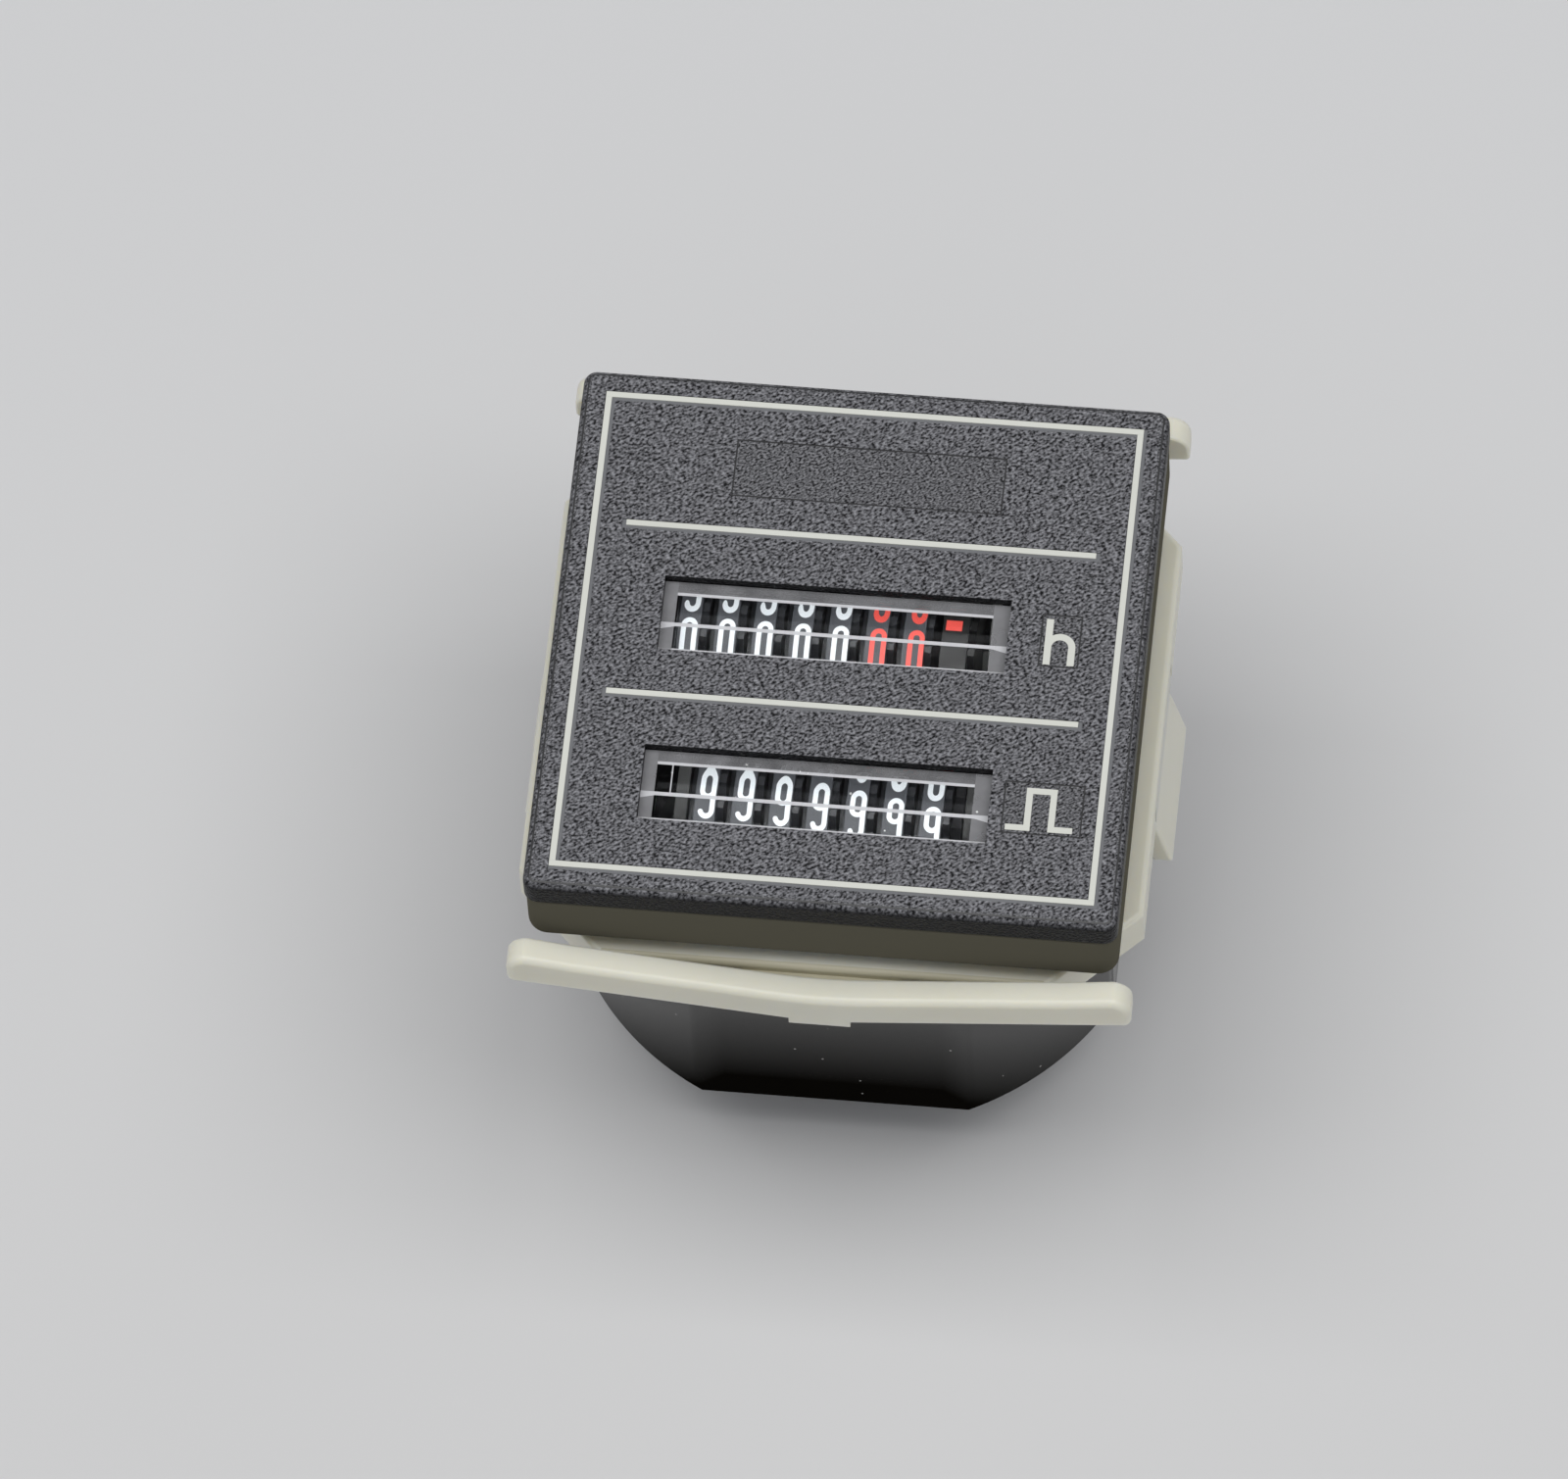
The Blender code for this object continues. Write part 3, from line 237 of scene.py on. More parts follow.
def merged(meshes):
    """One mesh that holds several closed bodies."""
    shape = bmesh.new()
    for mesh in meshes:
        shape.from_mesh(mesh)
    result = bpy.data.meshes.new("merged")
    shape.to_mesh(result)
    shape.free()
    return result


def finish_piece(name, mesh, material, body, replaces=(), sharp=32.0, parts=()):
    """Put a piece on its body with its shading; parts are faces with a finish of their own."""
    mesh.name = name
    mesh.materials.clear()
    mesh.materials.append(material)
    for number, (belongs, part_material) in enumerate(parts, start=1):
        mesh.materials.append(part_material)
        for face in mesh.polygons:
            if belongs(face):
                face.material_index = number
    mesh.shade_smooth()
    mesh.set_sharp_from_angle(angle=math.radians(sharp))
    piece = bpy.data.objects.new(name, mesh)
    bpy.context.scene.collection.objects.link(piece)
    even = piece.modifiers.new("even_shading", "WEIGHTED_NORMAL")
    even.keep_sharp = True
    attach(piece, body)
    if replaces:
        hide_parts(*replaces)
    return piece


def floor_at(height):
    """Test for the level faces at one height."""
    return lambda face: face.normal.z > 0.9 and abs(face.center.z - height) < 0.004 * MM


def new_group(name, inputs, outputs):
    """Shader node group with named float inputs and outputs."""
    group = bpy.data.node_groups.new(name, "ShaderNodeTree")
    for label, value in inputs:
        socket = group.interface.new_socket(label, in_out="INPUT", socket_type="NodeSocketFloat")
        socket.default_value = value
    for label in outputs:
        group.interface.new_socket(label, in_out="OUTPUT", socket_type="NodeSocketFloat")
    return group, group.nodes.new("NodeGroupInput"), group.nodes.new("NodeGroupOutput")


def math_node(tree, operation, first, second):
    """A Math node fed by sockets or by numbers; gives its result."""
    node = tree.nodes.new("ShaderNodeMath")
    node.operation = operation
    for socket, value in zip(node.inputs, (first, second)):
        if isinstance(value, (int, float)):
            socket.default_value = value
        else:
            tree.links.new(value, socket)
    return node.outputs[0]


def noise_node(tree, vector, scale, detail):
    """A Noise texture on the object's own coordinates; scale in waves per metre."""
    node = tree.nodes.new("ShaderNodeTexNoise")
    node.inputs["Detail"].default_value = detail
    tree.links.new(vector, node.inputs["Vector"])
    if isinstance(scale, (int, float)):
        node.inputs["Scale"].default_value = scale
    else:
        tree.links.new(scale, node.inputs["Scale"])
    return node.outputs["Fac"]


# Surface group: the soft unevenness of a moulded or rolled surface, and fine specks of dust that lie on it.
surface_group, group_in, group_out = new_group(
    "surface", [("Scale", 900.0), ("Dust", 0.5)], ["Height", "Tone", "Specks"]
)
spot = surface_group.nodes.new("ShaderNodeTexCoord").outputs["Object"]
waves = noise_node(surface_group, spot, group_in.outputs["Scale"], 3.0)
broad = noise_node(surface_group, spot, 90.0, 2.0)
cells = surface_group.nodes.new("ShaderNodeTexVoronoi")
cells.inputs["Scale"].default_value = 900.0
surface_group.links.new(spot, cells.inputs["Vector"])
near = math_node(surface_group, "LESS_THAN", cells.outputs["Distance"], 0.09)
rare = math_node(surface_group, "GREATER_THAN", noise_node(surface_group, spot, 700.0, 1.0), 0.62)
seen = math_node(surface_group, "MULTIPLY", near, rare)
speck = math_node(surface_group, "MULTIPLY", seen, group_in.outputs["Dust"])
surface_group.links.new(waves, group_out.inputs["Height"])
surface_group.links.new(broad, group_out.inputs["Tone"])
surface_group.links.new(speck, group_out.inputs["Specks"])


def moulded_finish(name, colour, second, roughness, bump, scale, dust, metallic=0.0):
    """Material of a plain part: a colour that drifts to a second one, fine unevenness, and dust."""
    material, tree, shader = node_material(name)
    surface = tree.nodes.new("ShaderNodeGroup")
    surface.node_tree = surface_group
    surface.inputs["Scale"].default_value = scale
    surface.inputs["Dust"].default_value = dust
    drift = tree.nodes.new("ShaderNodeMix")
    drift.data_type = "RGBA"
    drift.inputs["A"].default_value = (*colour, 1.0)
    drift.inputs["B"].default_value = (*second, 1.0)
    tree.links.new(surface.outputs["Tone"], drift.inputs["Factor"])
    dusty = tree.nodes.new("ShaderNodeMix")
    dusty.data_type = "RGBA"
    dusty.inputs["B"].default_value = (0.55, 0.54, 0.52, 1.0)
    tree.links.new(surface.outputs["Specks"], dusty.inputs["Factor"])
    tree.links.new(drift.outputs["Result"], dusty.inputs["A"])
    tree.links.new(dusty.outputs["Result"], shader.inputs["Base Color"])
    spread = tree.nodes.new("ShaderNodeMapRange")
    spread.inputs["To Min"].default_value = roughness - 0.05
    spread.inputs["To Max"].default_value = roughness + 0.05
    tree.links.new(surface.outputs["Height"], spread.inputs["Value"])
    tree.links.new(spread.outputs["Result"], shader.inputs["Roughness"])
    relief = tree.nodes.new("ShaderNodeBump")
    relief.inputs["Strength"].default_value = bump
    relief.inputs["Distance"].default_value = 0.05 * MM
    tree.links.new(surface.outputs["Height"], relief.inputs["Height"])
    tree.links.new(relief.outputs["Normal"], shader.inputs["Normal"])
    shader.inputs["Metallic"].default_value = metallic
    return material


FLANGE_SIDE, FLANGE_CORNER = 47.9 * MM, 1.7 * MM
FLANGE_REAR = FACE - 8.2 * MM
BODY_RADIUS, BODY_FLAT, WALL = 24.6 * MM, 22.0 * MM, 1.0 * MM
SAW_TEETH, SAW_PITCH, SAW_START, SAW_HEIGHT = 11, 2.0, 14.0, 0.4
TERMINALS = ((-8.4, 12.0), (8.4, 12.0), (-8.4, -12.0), (8.4, -12.0))
body_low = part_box("housing")[0].z
flange = moulding(
    rounded_square(FLANGE_SIDE, FLANGE_CORNER), FLANGE_REAR, FACE - 2.9 * MM, 0.35 * MM, 0.25 * MM
)
rim = moulding(rounded_square(45.2 * MM, 0.8 * MM), FACE - 4.0 * MM, FACE - 1.9 * MM, 0.0, 0.2 * MM)
barrel = moulding(circle_with_flats(BODY_RADIUS, BODY_FLAT), body_low, FACE - 7.5 * MM, 0.5 * MM)
front_hollow = moulding(rounded_square(42.8 * MM, 0.8 * MM), FACE - 7.0 * MM, FACE)
hollow = moulding(
    circle_with_flats(BODY_RADIUS - WALL, BODY_FLAT - WALL), body_low + 1.2 * MM, FACE - 2.0 * MM
)
flat = BODY_FLAT / MM
saws = []
for side in (-1, 1):
    edge = [(flat - 0.4, SAW_START)]
    for i in range(SAW_TEETH):
        depth = SAW_START + SAW_PITCH * i
        edge += [(flat, depth), (flat + SAW_HEIGHT, depth + 1.6), (flat, depth + 1.9)]
    edge.append((flat - 0.4, SAW_START + SAW_PITCH * SAW_TEETH))
    profile = [(side * x * MM, FACE - depth * MM) for x, depth in edge]
    if side > 0:
        profile.reverse()
    saw = moulding(polygon(profile), -6.0 * MM, 6.0 * MM)
    saw.transform(Matrix.Rotation(math.pi / 2, 4, "X"))
    saws.append(saw)
slots = []
for x, y in TERMINALS:
    slots.append(moulding(
        rectangle((x - 0.6) * MM, (x + 0.6) * MM, (y - 3.35) * MM, (y + 3.35) * MM),
        body_low - MM, body_low + 2 * MM,
    ))
housing_black = moulded_finish(
    "black_gloss_plastic", (0.003, 0.0026, 0.002), (0.006, 0.0052, 0.004),
    roughness=0.16, bump=0.2, scale=500.0, dust=0.6,
)
# The flange is satin, and its colour is painted olive grey as a painted reflection of the ivory clamp bar
# in front of it; the body is nearly black.
tree = housing_black.node_tree
shader = tree.nodes["Principled BSDF"]
position = tree.nodes.new("ShaderNodeTexCoord")
height = tree.nodes.new("ShaderNodeSeparateXYZ")
on_flange = tree.nodes.new("ShaderNodeMapRange")
on_flange.inputs["From Min"].default_value = FLANGE_REAR - 0.4 * MM
on_flange.inputs["From Max"].default_value = FLANGE_REAR
olive = tree.nodes.new("ShaderNodeMix")
olive.data_type = "RGBA"
olive.inputs["B"].default_value = (0.112, 0.105, 0.078, 1.0)
tree.links.new(position.outputs["Object"], height.inputs["Vector"])
tree.links.new(height.outputs["Z"], on_flange.inputs["Value"])
tree.links.new(on_flange.outputs["Result"], olive.inputs["Factor"])
tree.links.new(shader.inputs["Base Color"].links[0].from_socket, olive.inputs["A"])
tree.links.new(olive.outputs["Result"], shader.inputs["Base Color"])
satin = math_node(
    tree, "ADD", shader.inputs["Roughness"].links[0].from_socket,
    math_node(tree, "MULTIPLY", on_flange.outputs["Result"], 0.3),
)
tree.links.new(satin, shader.inputs["Roughness"])
# The gloss coat is weakened toward the rear wall, most of all in the middle of the flats beside the bars,
# as painted shade: it darkens the body's reflection toward the bottom.
gloss_and_painted_shade = tree.nodes.new("ShaderNodeMapRange")
gloss_and_painted_shade.inputs["From Min"].default_value = body_low + 3.5 * MM
gloss_and_painted_shade.inputs["From Max"].default_value = body_low + 16.0 * MM
sideways = math_node(tree, "ABSOLUTE", height.outputs["X"], 0.0)
off_middle = math_node(tree, "MAXIMUM", math_node(tree, "ADD", sideways, -9.0 * MM), 0.0)
tree.links.new(math_node(tree, "ADD", height.outputs["Z"], off_middle), gloss_and_painted_shade.inputs["Value"])
coat_with_painted_shade = math_node(tree, "SUBTRACT", gloss_and_painted_shade.outputs["Result"], on_flange.outputs["Result"])
tree.links.new(coat_with_painted_shade, shader.inputs["Coat Weight"])
shader.inputs["Coat Roughness"].default_value = 0.16
shader.inputs["Coat IOR"].default_value = 1.6
shader.inputs["Specular IOR Level"].default_value = 0.0
finish_piece(
    "housing_shell", carve(flange, [rim, barrel] + saws, [front_hollow, hollow] + slots), housing_black,
    "instrument", ["housing"],
)

# Terminals: four flat blades stamped from tinned brass, pushed through slots in the rear wall.
# Each has a chamfered tip and a locating hole.

tinned_brass = moulded_finish(
    "tinned_brass", (0.70, 0.69, 0.65), (0.60, 0.58, 0.53),
    roughness=0.26, bump=0.15, scale=2600.0, dust=0.2, metallic=1.0,
)
blade_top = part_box("terminal_1")[1].z
HALF_THICK, HALF_WIDE, HALF_SHOULDER, CHAMFER = 0.4 * MM, 3.15 * MM, 4.1 * MM, 1.0 * MM
NECK, HOLE_RADIUS, HOLE_HEIGHT = 9.5 * MM, 0.8 * MM, 3.2 * MM
right_edge = [
    (HALF_WIDE - CHAMFER, 0.0), (HALF_WIDE, CHAMFER), (HALF_WIDE, NECK), (HALF_SHOULDER, NECK),
    (HALF_SHOULDER, blade_top),
]
edge = right_edge + [(-x, z) for x, z in reversed(right_edge)]
hole = [
    (HOLE_RADIUS * math.cos(i * math.pi / 12), HOLE_HEIGHT + HOLE_RADIUS * math.sin(i * math.pi / 12))
    for i in range(24)
]
for number, (x, y) in enumerate(TERMINALS, start=1):
    blade = moulding(polygon(edge), -HALF_THICK, HALF_THICK, 0.12 * MM, 0.12 * MM, 2)
    blade = carve(blade, cuts=[moulding(polygon(hole), -MM, MM)])
    blade.transform(Matrix.Rotation(math.pi / 2, 4, "Z") @ Matrix.Rotation(math.pi / 2, 4, "X"))
    blade.transform(Matrix.Translation((x * MM, y * MM, 0.0)))
    finish_piece(
        f"terminal_blade_{number}", blade, tinned_brass,
        "instrument", [f"terminal_{number}"],
    )

# Works: two frames of black plastic hold the shafts, and what drives the wheels stands on them or on the
# rear wall. All of it keeps the imported solids and gets the finish of its material, except the white
# acetal pinions behind the wheels, which are painted near black as painted shade in the gaps between the
# wheels. The two gears beside the motor are white.

frame_black = moulded_finish(
    "black_frame_plastic", (0.005, 0.005, 0.005), (0.011, 0.011, 0.011),
    roughness=0.42, bump=0.4, scale=1400.0, dust=0.3,
)
acetal_white = moulded_finish(
    "white_acetal", (0.62, 0.62, 0.60), (0.72, 0.72, 0.69),
    roughness=0.38, bump=0.2, scale=1200.0, dust=0.2,
)
pinion_painted_shade = moulded_finish(
    "pinion_painted_shade", (0.020, 0.020, 0.022), (0.032, 0.032, 0.035),
    roughness=0.4, bump=0.3, scale=1500.0, dust=0.3,
)
zinc_steel = moulded_finish(
    "plated_steel", (0.52, 0.53, 0.54), (0.62, 0.62, 0.60),
    roughness=0.3, bump=0.25, scale=2200.0, dust=0.2, metallic=1.0,
)
coil_copper = moulded_finish(
    "lacquered_copper", (0.42, 0.13, 0.05), (0.58, 0.22, 0.09),
    roughness=0.3, bump=0.8, scale=3200.0, dust=0.2,
)
board_green = moulded_finish(
    "green_board", (0.02, 0.12, 0.05), (0.03, 0.17, 0.07),
    roughness=0.35, bump=0.5, scale=2500.0, dust=0.4,
)
finishes = {
    "black_frame_plastic": frame_black, "white_acetal": pinion_painted_shade, "plated_steel": zinc_steel,
    "lacquered_copper": coil_copper, "green_board": board_green,
}
slot_of = {piece["node"]: piece["material_slot"] for piece in frame["record"]["subparts"]}
for node, cad_object in frame["nodes"].items():
    if slot_of[node] in finishes:
        cad_object.data.materials.clear()
        cad_object.data.materials.append(finishes[slot_of[node]])
for node in ("idler_gear", "motor_pinion"):
    frame["nodes"][node].data.materials.clear()
    frame["nodes"][node].data.materials.append(acetal_white)

# Number wheels: dark grey drums moulded with a ring of 20 teeth on the right and a carry disc on the left.
# The figures are printed on the drum in white, and in red on the last two of the upper row.

DRUM_RADIUS = 6.9 * MM
WHEEL_Z = FACE - 10.5 * MM
FIGURE_HALF_WIDTH = 0.46
FIGURE_HALF_HEIGHT = 1.735
FIGURE_STROKE = 0.41
HOUR_ROW_Y, COUNT_ROW_Y = 1.9 * MM, -13.7 * MM
WHEEL_PITCH = 3.05
INK_LIFT = 0.012 * MM
hour_xs = [-13.3 + WHEEL_PITCH * i for i in range(7)]
count_xs = [-10.3 + WHEEL_PITCH * i for i in range(7)]
hour_turns = [7.2, 6.3, 6.1, 5.8, 5.5, 5.4, 4.7]
count_turns = [-4.3, -4.3, -3.1, -1.4, 1.2, 4.2, 8.2]


def turned(profile, segments):
    """Closed body turned round X from a closed profile of (x, radius) points."""
    shape = bmesh.new()
    rings = []
    for i in range(segments):
        angle = 2 * math.pi * i / segments
        rings.append([shape.verts.new((x, r * math.sin(angle), r * math.cos(angle))) for x, r in profile])
    for i in range(segments):
        ring, following = rings[i], rings[(i + 1) % segments]
        for j in range(len(profile)):
            k = (j + 1) % len(profile)
            shape.faces.new((ring[j], ring[k], following[k], following[j]))
    bmesh.ops.recalc_face_normals(shape, faces=shape.faces)
    mesh = bpy.data.meshes.new("turned")
    shape.to_mesh(mesh)
    shape.free()
    return mesh


def gear(teeth, tip, root, bore, x_low, x_high, turn=0.0):
    """Toothed ring round X with straight-sided teeth and a round bore."""
    outline = []
    step = 2 * math.pi / teeth
    for i in range(teeth):
        for share, radius in ((-0.34, root), (-0.13, tip), (0.13, tip), (0.34, root)):
            outline.append((turn + (i + share) * step, radius))
    shape = bmesh.new()
    loops = []
    for x, inner in ((x_low, True), (x_low, False), (x_high, False), (x_high, True)):
        loops.append([
            shape.verts.new((x, (bore if inner else r) * math.sin(a), (bore if inner else r) * math.cos(a)))
            for a, r in outline
        ])
    for i, loop in enumerate(loops):
        following = loops[(i + 1) % 4]
        for j in range(len(loop)):
            k = (j + 1) % len(loop)
            shape.faces.new((loop[j], loop[k], following[k], following[j]))
    bmesh.ops.recalc_face_normals(shape, faces=shape.faces)
    mesh = bpy.data.meshes.new("gear")
    shape.to_mesh(mesh)
    shape.free()
    return mesh


def bend(x, y, radius, start, end, steps=12):
    """Points along an arc, angles in degrees."""
    return [
        (x + radius * math.cos(math.radians(start + (end - start) * i / steps)),
         y + radius * math.sin(math.radians(start + (end - start) * i / steps)))
        for i in range(steps + 1)
    ]


def figure_lines(figure):
    """Centre lines of a figure in mm, as (points, closed) pairs."""
    a, b = FIGURE_HALF_WIDTH, FIGURE_HALF_HEIGHT
    nine_waist = b - 2 * b * 0.58 + FIGURE_STROKE / 2
    nine = [
        (bend(0, b - a, a, 0, 180) + bend(0, nine_waist + a, a, 180, 360), True),
        ([(a, b - a)] + bend(0, -b + a, a, 0, -165), False),
    ]
    if figure == 0:
        return [(bend(0, b - a, a, 0, 180) + bend(0, -b + a, a, 180, 360), True)]
    if figure == 1:
        return [([(-a * 0.7, b - 0.7), (a * 0.25, b), (a * 0.25, -b)], False)]
    if figure == 2:
        return [(bend(0, b - a, a, 170, -20) + [(-a, -b), (a, -b)], False)]
    if figure == 3:
        return [
            (bend(0, b - a, a, 165, 0) + bend(0, 0.22 + a, a, 0, -90), False),
            (bend(0, 0.22 - a, a, 90, 0) + bend(0, -b + a, a, 0, -165), False),
        ]
    if figure == 4:
        return [
            ([(a * 0.45, b), (-a, -b * 0.4), (a, -b * 0.4)], False),
            ([(a * 0.45, 0.1), (a * 0.45, -b)], False),
        ]
    if figure == 5:
        belly = bend(0, 0.1, a, 120, 0) + bend(0, -b + a, a, 0, -165)
        return [([(a, b), (-a, b), (-a, 0.35)] + belly, False)]
    if figure == 7:
        return [([(-a, b), (a, b), (-a * 0.3, -b)], False)]
    if figure == 8:
        return [
            (bend(0, b - a, a, 0, 180) + bend(0, 0.12 + a, a, 180, 360), True),
            (bend(0, 0.12 - a, a, 0, 180) + bend(0, -b + a, a, 180, 360), True),
        ]
    if figure == 6:
        return [([(-x, -y) for x, y in points], closed) for points, closed in nine]
    return nine


def ribbon(points, closed, width):
    """Quads of even width along a line, cut short enough to lie on a curve; round at open ends."""
    dense = []
    spans = len(points) if closed else len(points) - 1
    for i in range(spans):
        start, end = Vector(points[i]), Vector(points[(i + 1) % len(points)])
        if (end - start).length < 1e-4:
            continue
        parts = max(1, math.ceil((end - start).length / 0.22))
        dense += [start.lerp(end, j / parts) for j in range(parts)]
    if not closed:
        dense.append(Vector(points[-1]))
    sides = []
    count = len(dense)
    for i, here in enumerate(dense):
        before = dense[i - 1] if closed or i > 0 else here
        after = dense[(i + 1) % count] if closed or i < count - 1 else here
        along = (after - here).normalized() + (here - before).normalized()
        along.normalize()
        across = Vector((-along.y, along.x)) * width / 2
        if before != here and after != here:
            across /= max(0.5, (after - here).normalized().dot(along))
        sides.append((here + across, here - across))
    quads = [
        (sides[i][0], sides[i][1], sides[(i + 1) % count][1], sides[(i + 1) % count][0])
        for i in range(count if closed else count - 1)
    ]
    if not closed:
        for end in (dense[0], dense[-1]):
            rim_points = [end + Vector(p) for p in bend(0, 0, width / 2, 0, 330, 11)]
            quads += [(end, rim_points[i], rim_points[(i + 1) % 12]) for i in range(12)]
    return quads


def printed_wheel(name, figures_turn, x, y):
    """Mesh of the ten figures of one wheel, laid on the drum."""
    shape = bmesh.new()
    for figure in range(10):
        middle = math.radians(figures_turn(figure))
        for points, closed in figure_lines(figure):
            for quad in ribbon(points, closed, FIGURE_STROKE):
                corners = []
                for u, v in quad:
                    angle = middle - v * MM / DRUM_RADIUS
                    radius = DRUM_RADIUS + INK_LIFT
                    corners.append(shape.verts.new((
                        (x + u) * MM, y - radius * math.sin(angle), WHEEL_Z + radius * math.cos(angle),
                    )))
                shape.faces.new(corners)
    bmesh.ops.remove_doubles(shape, verts=shape.verts, dist=1e-8)
    mesh = bpy.data.meshes.new(name)
    shape.to_mesh(mesh)
    shape.free()
    return mesh


def wheel_mesh(x, y, width, carry):
    """Drum with round rims, tooth ring and, if asked, the carry disc."""
    half = width / 2
    drum = turned([
        (-half, 1.0), (-half, 6.82), (-half + 0.03, 6.88), (-half + 0.08, 6.9), (half - 0.08, 6.9),
        (half - 0.03, 6.88), (half, 6.82), (half, 1.0),
    ], 96)
    bodies = [drum, gear(20, 6.42, 5.28, 0.97, half, half + 0.55, math.pi)]
    if carry:
        disc = [(-half - 0.5, 0.97), (-half - 0.5, 5.05), (-half - 0.45, 5.1), (-half, 5.1), (-half, 0.97)]
        bodies.append(turned(disc, 64))
    mesh = merged(bodies)
    mesh.transform(Matrix.Translation((x * MM, y, WHEEL_Z)) @ Matrix.Scale(MM, 4))
    return mesh


def beside_drum(x):
    """Test for the faces of a wheel at x beside its drum: the sides, the tooth ring and the disc."""
    return lambda face: abs(face.center.x - x * MM) > 0.89 * MM


drum_grey = moulded_finish(
    "wheel_grey", (0.050, 0.053, 0.062), (0.068, 0.071, 0.082),
    roughness=0.48, bump=0.35, scale=1500.0, dust=1.0,
)
# The sides, tooth rings and carry discs of the wheels are painted darker than the drums: painted shade in
# the narrow gaps between the wheels.
shaded_wheel_sides = moulded_finish(
    "wheel_side", (0.022, 0.023, 0.026), (0.034, 0.035, 0.040),
    roughness=0.4, bump=0.3, scale=1500.0, dust=0.3,
)
ink_white = moulded_finish(
    "ink_white", (0.80, 0.84, 0.88), (0.86, 0.89, 0.92),
    roughness=0.45, bump=0.2, scale=2000.0, dust=0.0,
)
ink_red = moulded_finish(
    "ink_red", (0.84, 0.075, 0.06), (0.90, 0.11, 0.085),
    roughness=0.45, bump=0.2, scale=2000.0, dust=0.0,
)
for row, row_y, xs, turns, shown in (
    ("hour", HOUR_ROW_Y, hour_xs, hour_turns, 0), ("count", COUNT_ROW_Y, count_xs, count_turns, 9),
):
    for number, (x, turn) in enumerate(zip(xs, turns), start=1):
        body = f"{row}_wheel_{number}"
        finish_piece(
            f"{row}_drum_{number}", wheel_mesh(x, row_y, 1.8, True), drum_grey,
            body, [body], parts=[(beside_drum(x), shaded_wheel_sides)],
        )
        middle = x + 0.12 + (0.03 * (number - 4) if row == "hour" else 0.0)
        figures = printed_wheel(body, lambda figure: turn + 36.0 * (figure - shown), middle, row_y)
        ink = ink_red if row == "hour" and number > 5 else ink_white
        finish_piece(f"{row}_figures_{number}", figures, ink, body)

# Run indicator: a black wheel beside the upper row, moulded without figures. Ten red blocks are printed
# round it, and it turns while the meter runs.

INDICATOR_X = 8.3
BLOCK_LEFT, BLOCK_RIGHT, BLOCK_HEIGHT = -0.84, 0.48, 0.68 * MM
finish_piece(
    "indicator_drum", wheel_mesh(INDICATOR_X, HOUR_ROW_Y, 2.2, False), frame_black,
    "run_indicator", ["run_indicator"],
)
blocks = bmesh.new()
for i in range(10):
    middle = math.radians(-15.6 + 36.0 * i)
    for j in range(4):
        corners = []
        for u, share in ((BLOCK_LEFT, j), (BLOCK_RIGHT, j), (BLOCK_RIGHT, j + 1), (BLOCK_LEFT, j + 1)):
            angle = middle + (share / 4 - 0.5) * BLOCK_HEIGHT / DRUM_RADIUS
            radius = DRUM_RADIUS + INK_LIFT
            corners.append(blocks.verts.new((
                (INDICATOR_X + u) * MM,
                HOUR_ROW_Y - radius * math.sin(angle),
                WHEEL_Z + radius * math.cos(angle),
            )))
        blocks.faces.new(corners)
blocks_mesh = bpy.data.meshes.new("indicator_blocks")
blocks.to_mesh(blocks_mesh)
blocks.free()
finish_piece("indicator_blocks", blocks_mesh, ink_red, "run_indicator")

# Windows: each is a clear moulding behind the cap, with a round rib across its back that enlarges the
# figures.
# The rim round the rib is hazy, and fine bright lines are painted on thin sheets on its front: painted
# highlights where light glints on its edges and on the rib's crest.

WINDOW_X, WINDOW_HALF_WIDTH, WINDOW_HALF_HEIGHT = -1.33, 14.1, 3.4
LENS_FRONT = 1.0
RIB_Y, RIB_RADIUS, RIB_CREST = -1.4, 5.0, 3.1


def lens_mesh(row_y):
    """Flat plate with the round rib in a shallow pocket."""
    plate = moulding(
        rectangle((WINDOW_X - 15.2) * MM, (WINDOW_X + 15.2) * MM, row_y - 4.5 * MM, row_y + 4.5 * MM),
        FACE - 2.0 * MM, FACE - LENS_FRONT * MM,
    )
    pocket = moulding(
        rectangle((WINDOW_X - 12.9) * MM, (WINDOW_X + 12.9) * MM, row_y - 2.8 * MM, row_y + 2.6 * MM),
        FACE - 3.0 * MM, FACE - 1.3 * MM,
    )
    profile = [(-2.95, 1.1), (-2.95, 2.2)]
    for i in range(49):
        y = -2.8 + 5.4 * i / 48
        profile.append((y, RIB_CREST - RIB_RADIUS + math.sqrt(RIB_RADIUS ** 2 - (y - RIB_Y) ** 2)))
    profile += [(2.7, 1.3), (2.7, 1.1)]
    rib = moulding(polygon([(-depth * MM, y * MM) for y, depth in profile]), -12.9 * MM, 12.9 * MM)
    rib.transform(Matrix.Rotation(math.pi / 2, 4, "Y") @ Matrix.Scale(-1, 4, (1, 0, 0)))
    rib.flip_normals()
    rib.transform(Matrix.Translation((WINDOW_X * MM, row_y, FACE)))
    return carve(carve(plate, cuts=[pocket]), adds=[rib])


def cast_no_shadow(tree, shader, tint):
    """Let the lamps shine through a material, with a tint."""
    clear = tree.nodes.new("ShaderNodeBsdfTransparent")
    clear.inputs["Color"].default_value = (*tint, 1.0)
    for_lamps = tree.nodes.new("ShaderNodeMixShader")
    tree.links.new(tree.nodes.new("ShaderNodeLightPath").outputs["Is Shadow Ray"], for_lamps.inputs["Fac"])
    tree.links.new(shader.outputs["BSDF"], for_lamps.inputs[1])
    tree.links.new(clear.outputs["BSDF"], for_lamps.inputs[2])
    tree.links.new(for_lamps.outputs["Shader"], tree.nodes["Material Output"].inputs["Surface"])


clear_plastic, tree, shader = node_material("clear_plastic")
shader.inputs["Base Color"].default_value = (0.97, 0.98, 0.98, 1.0)
shader.inputs["Roughness"].default_value = 0.0
shader.inputs["IOR"].default_value = 1.49
shader.inputs["Transmission Weight"].default_value = 1.0
cast_no_shadow(tree, shader, (0.97, 0.98, 0.98))


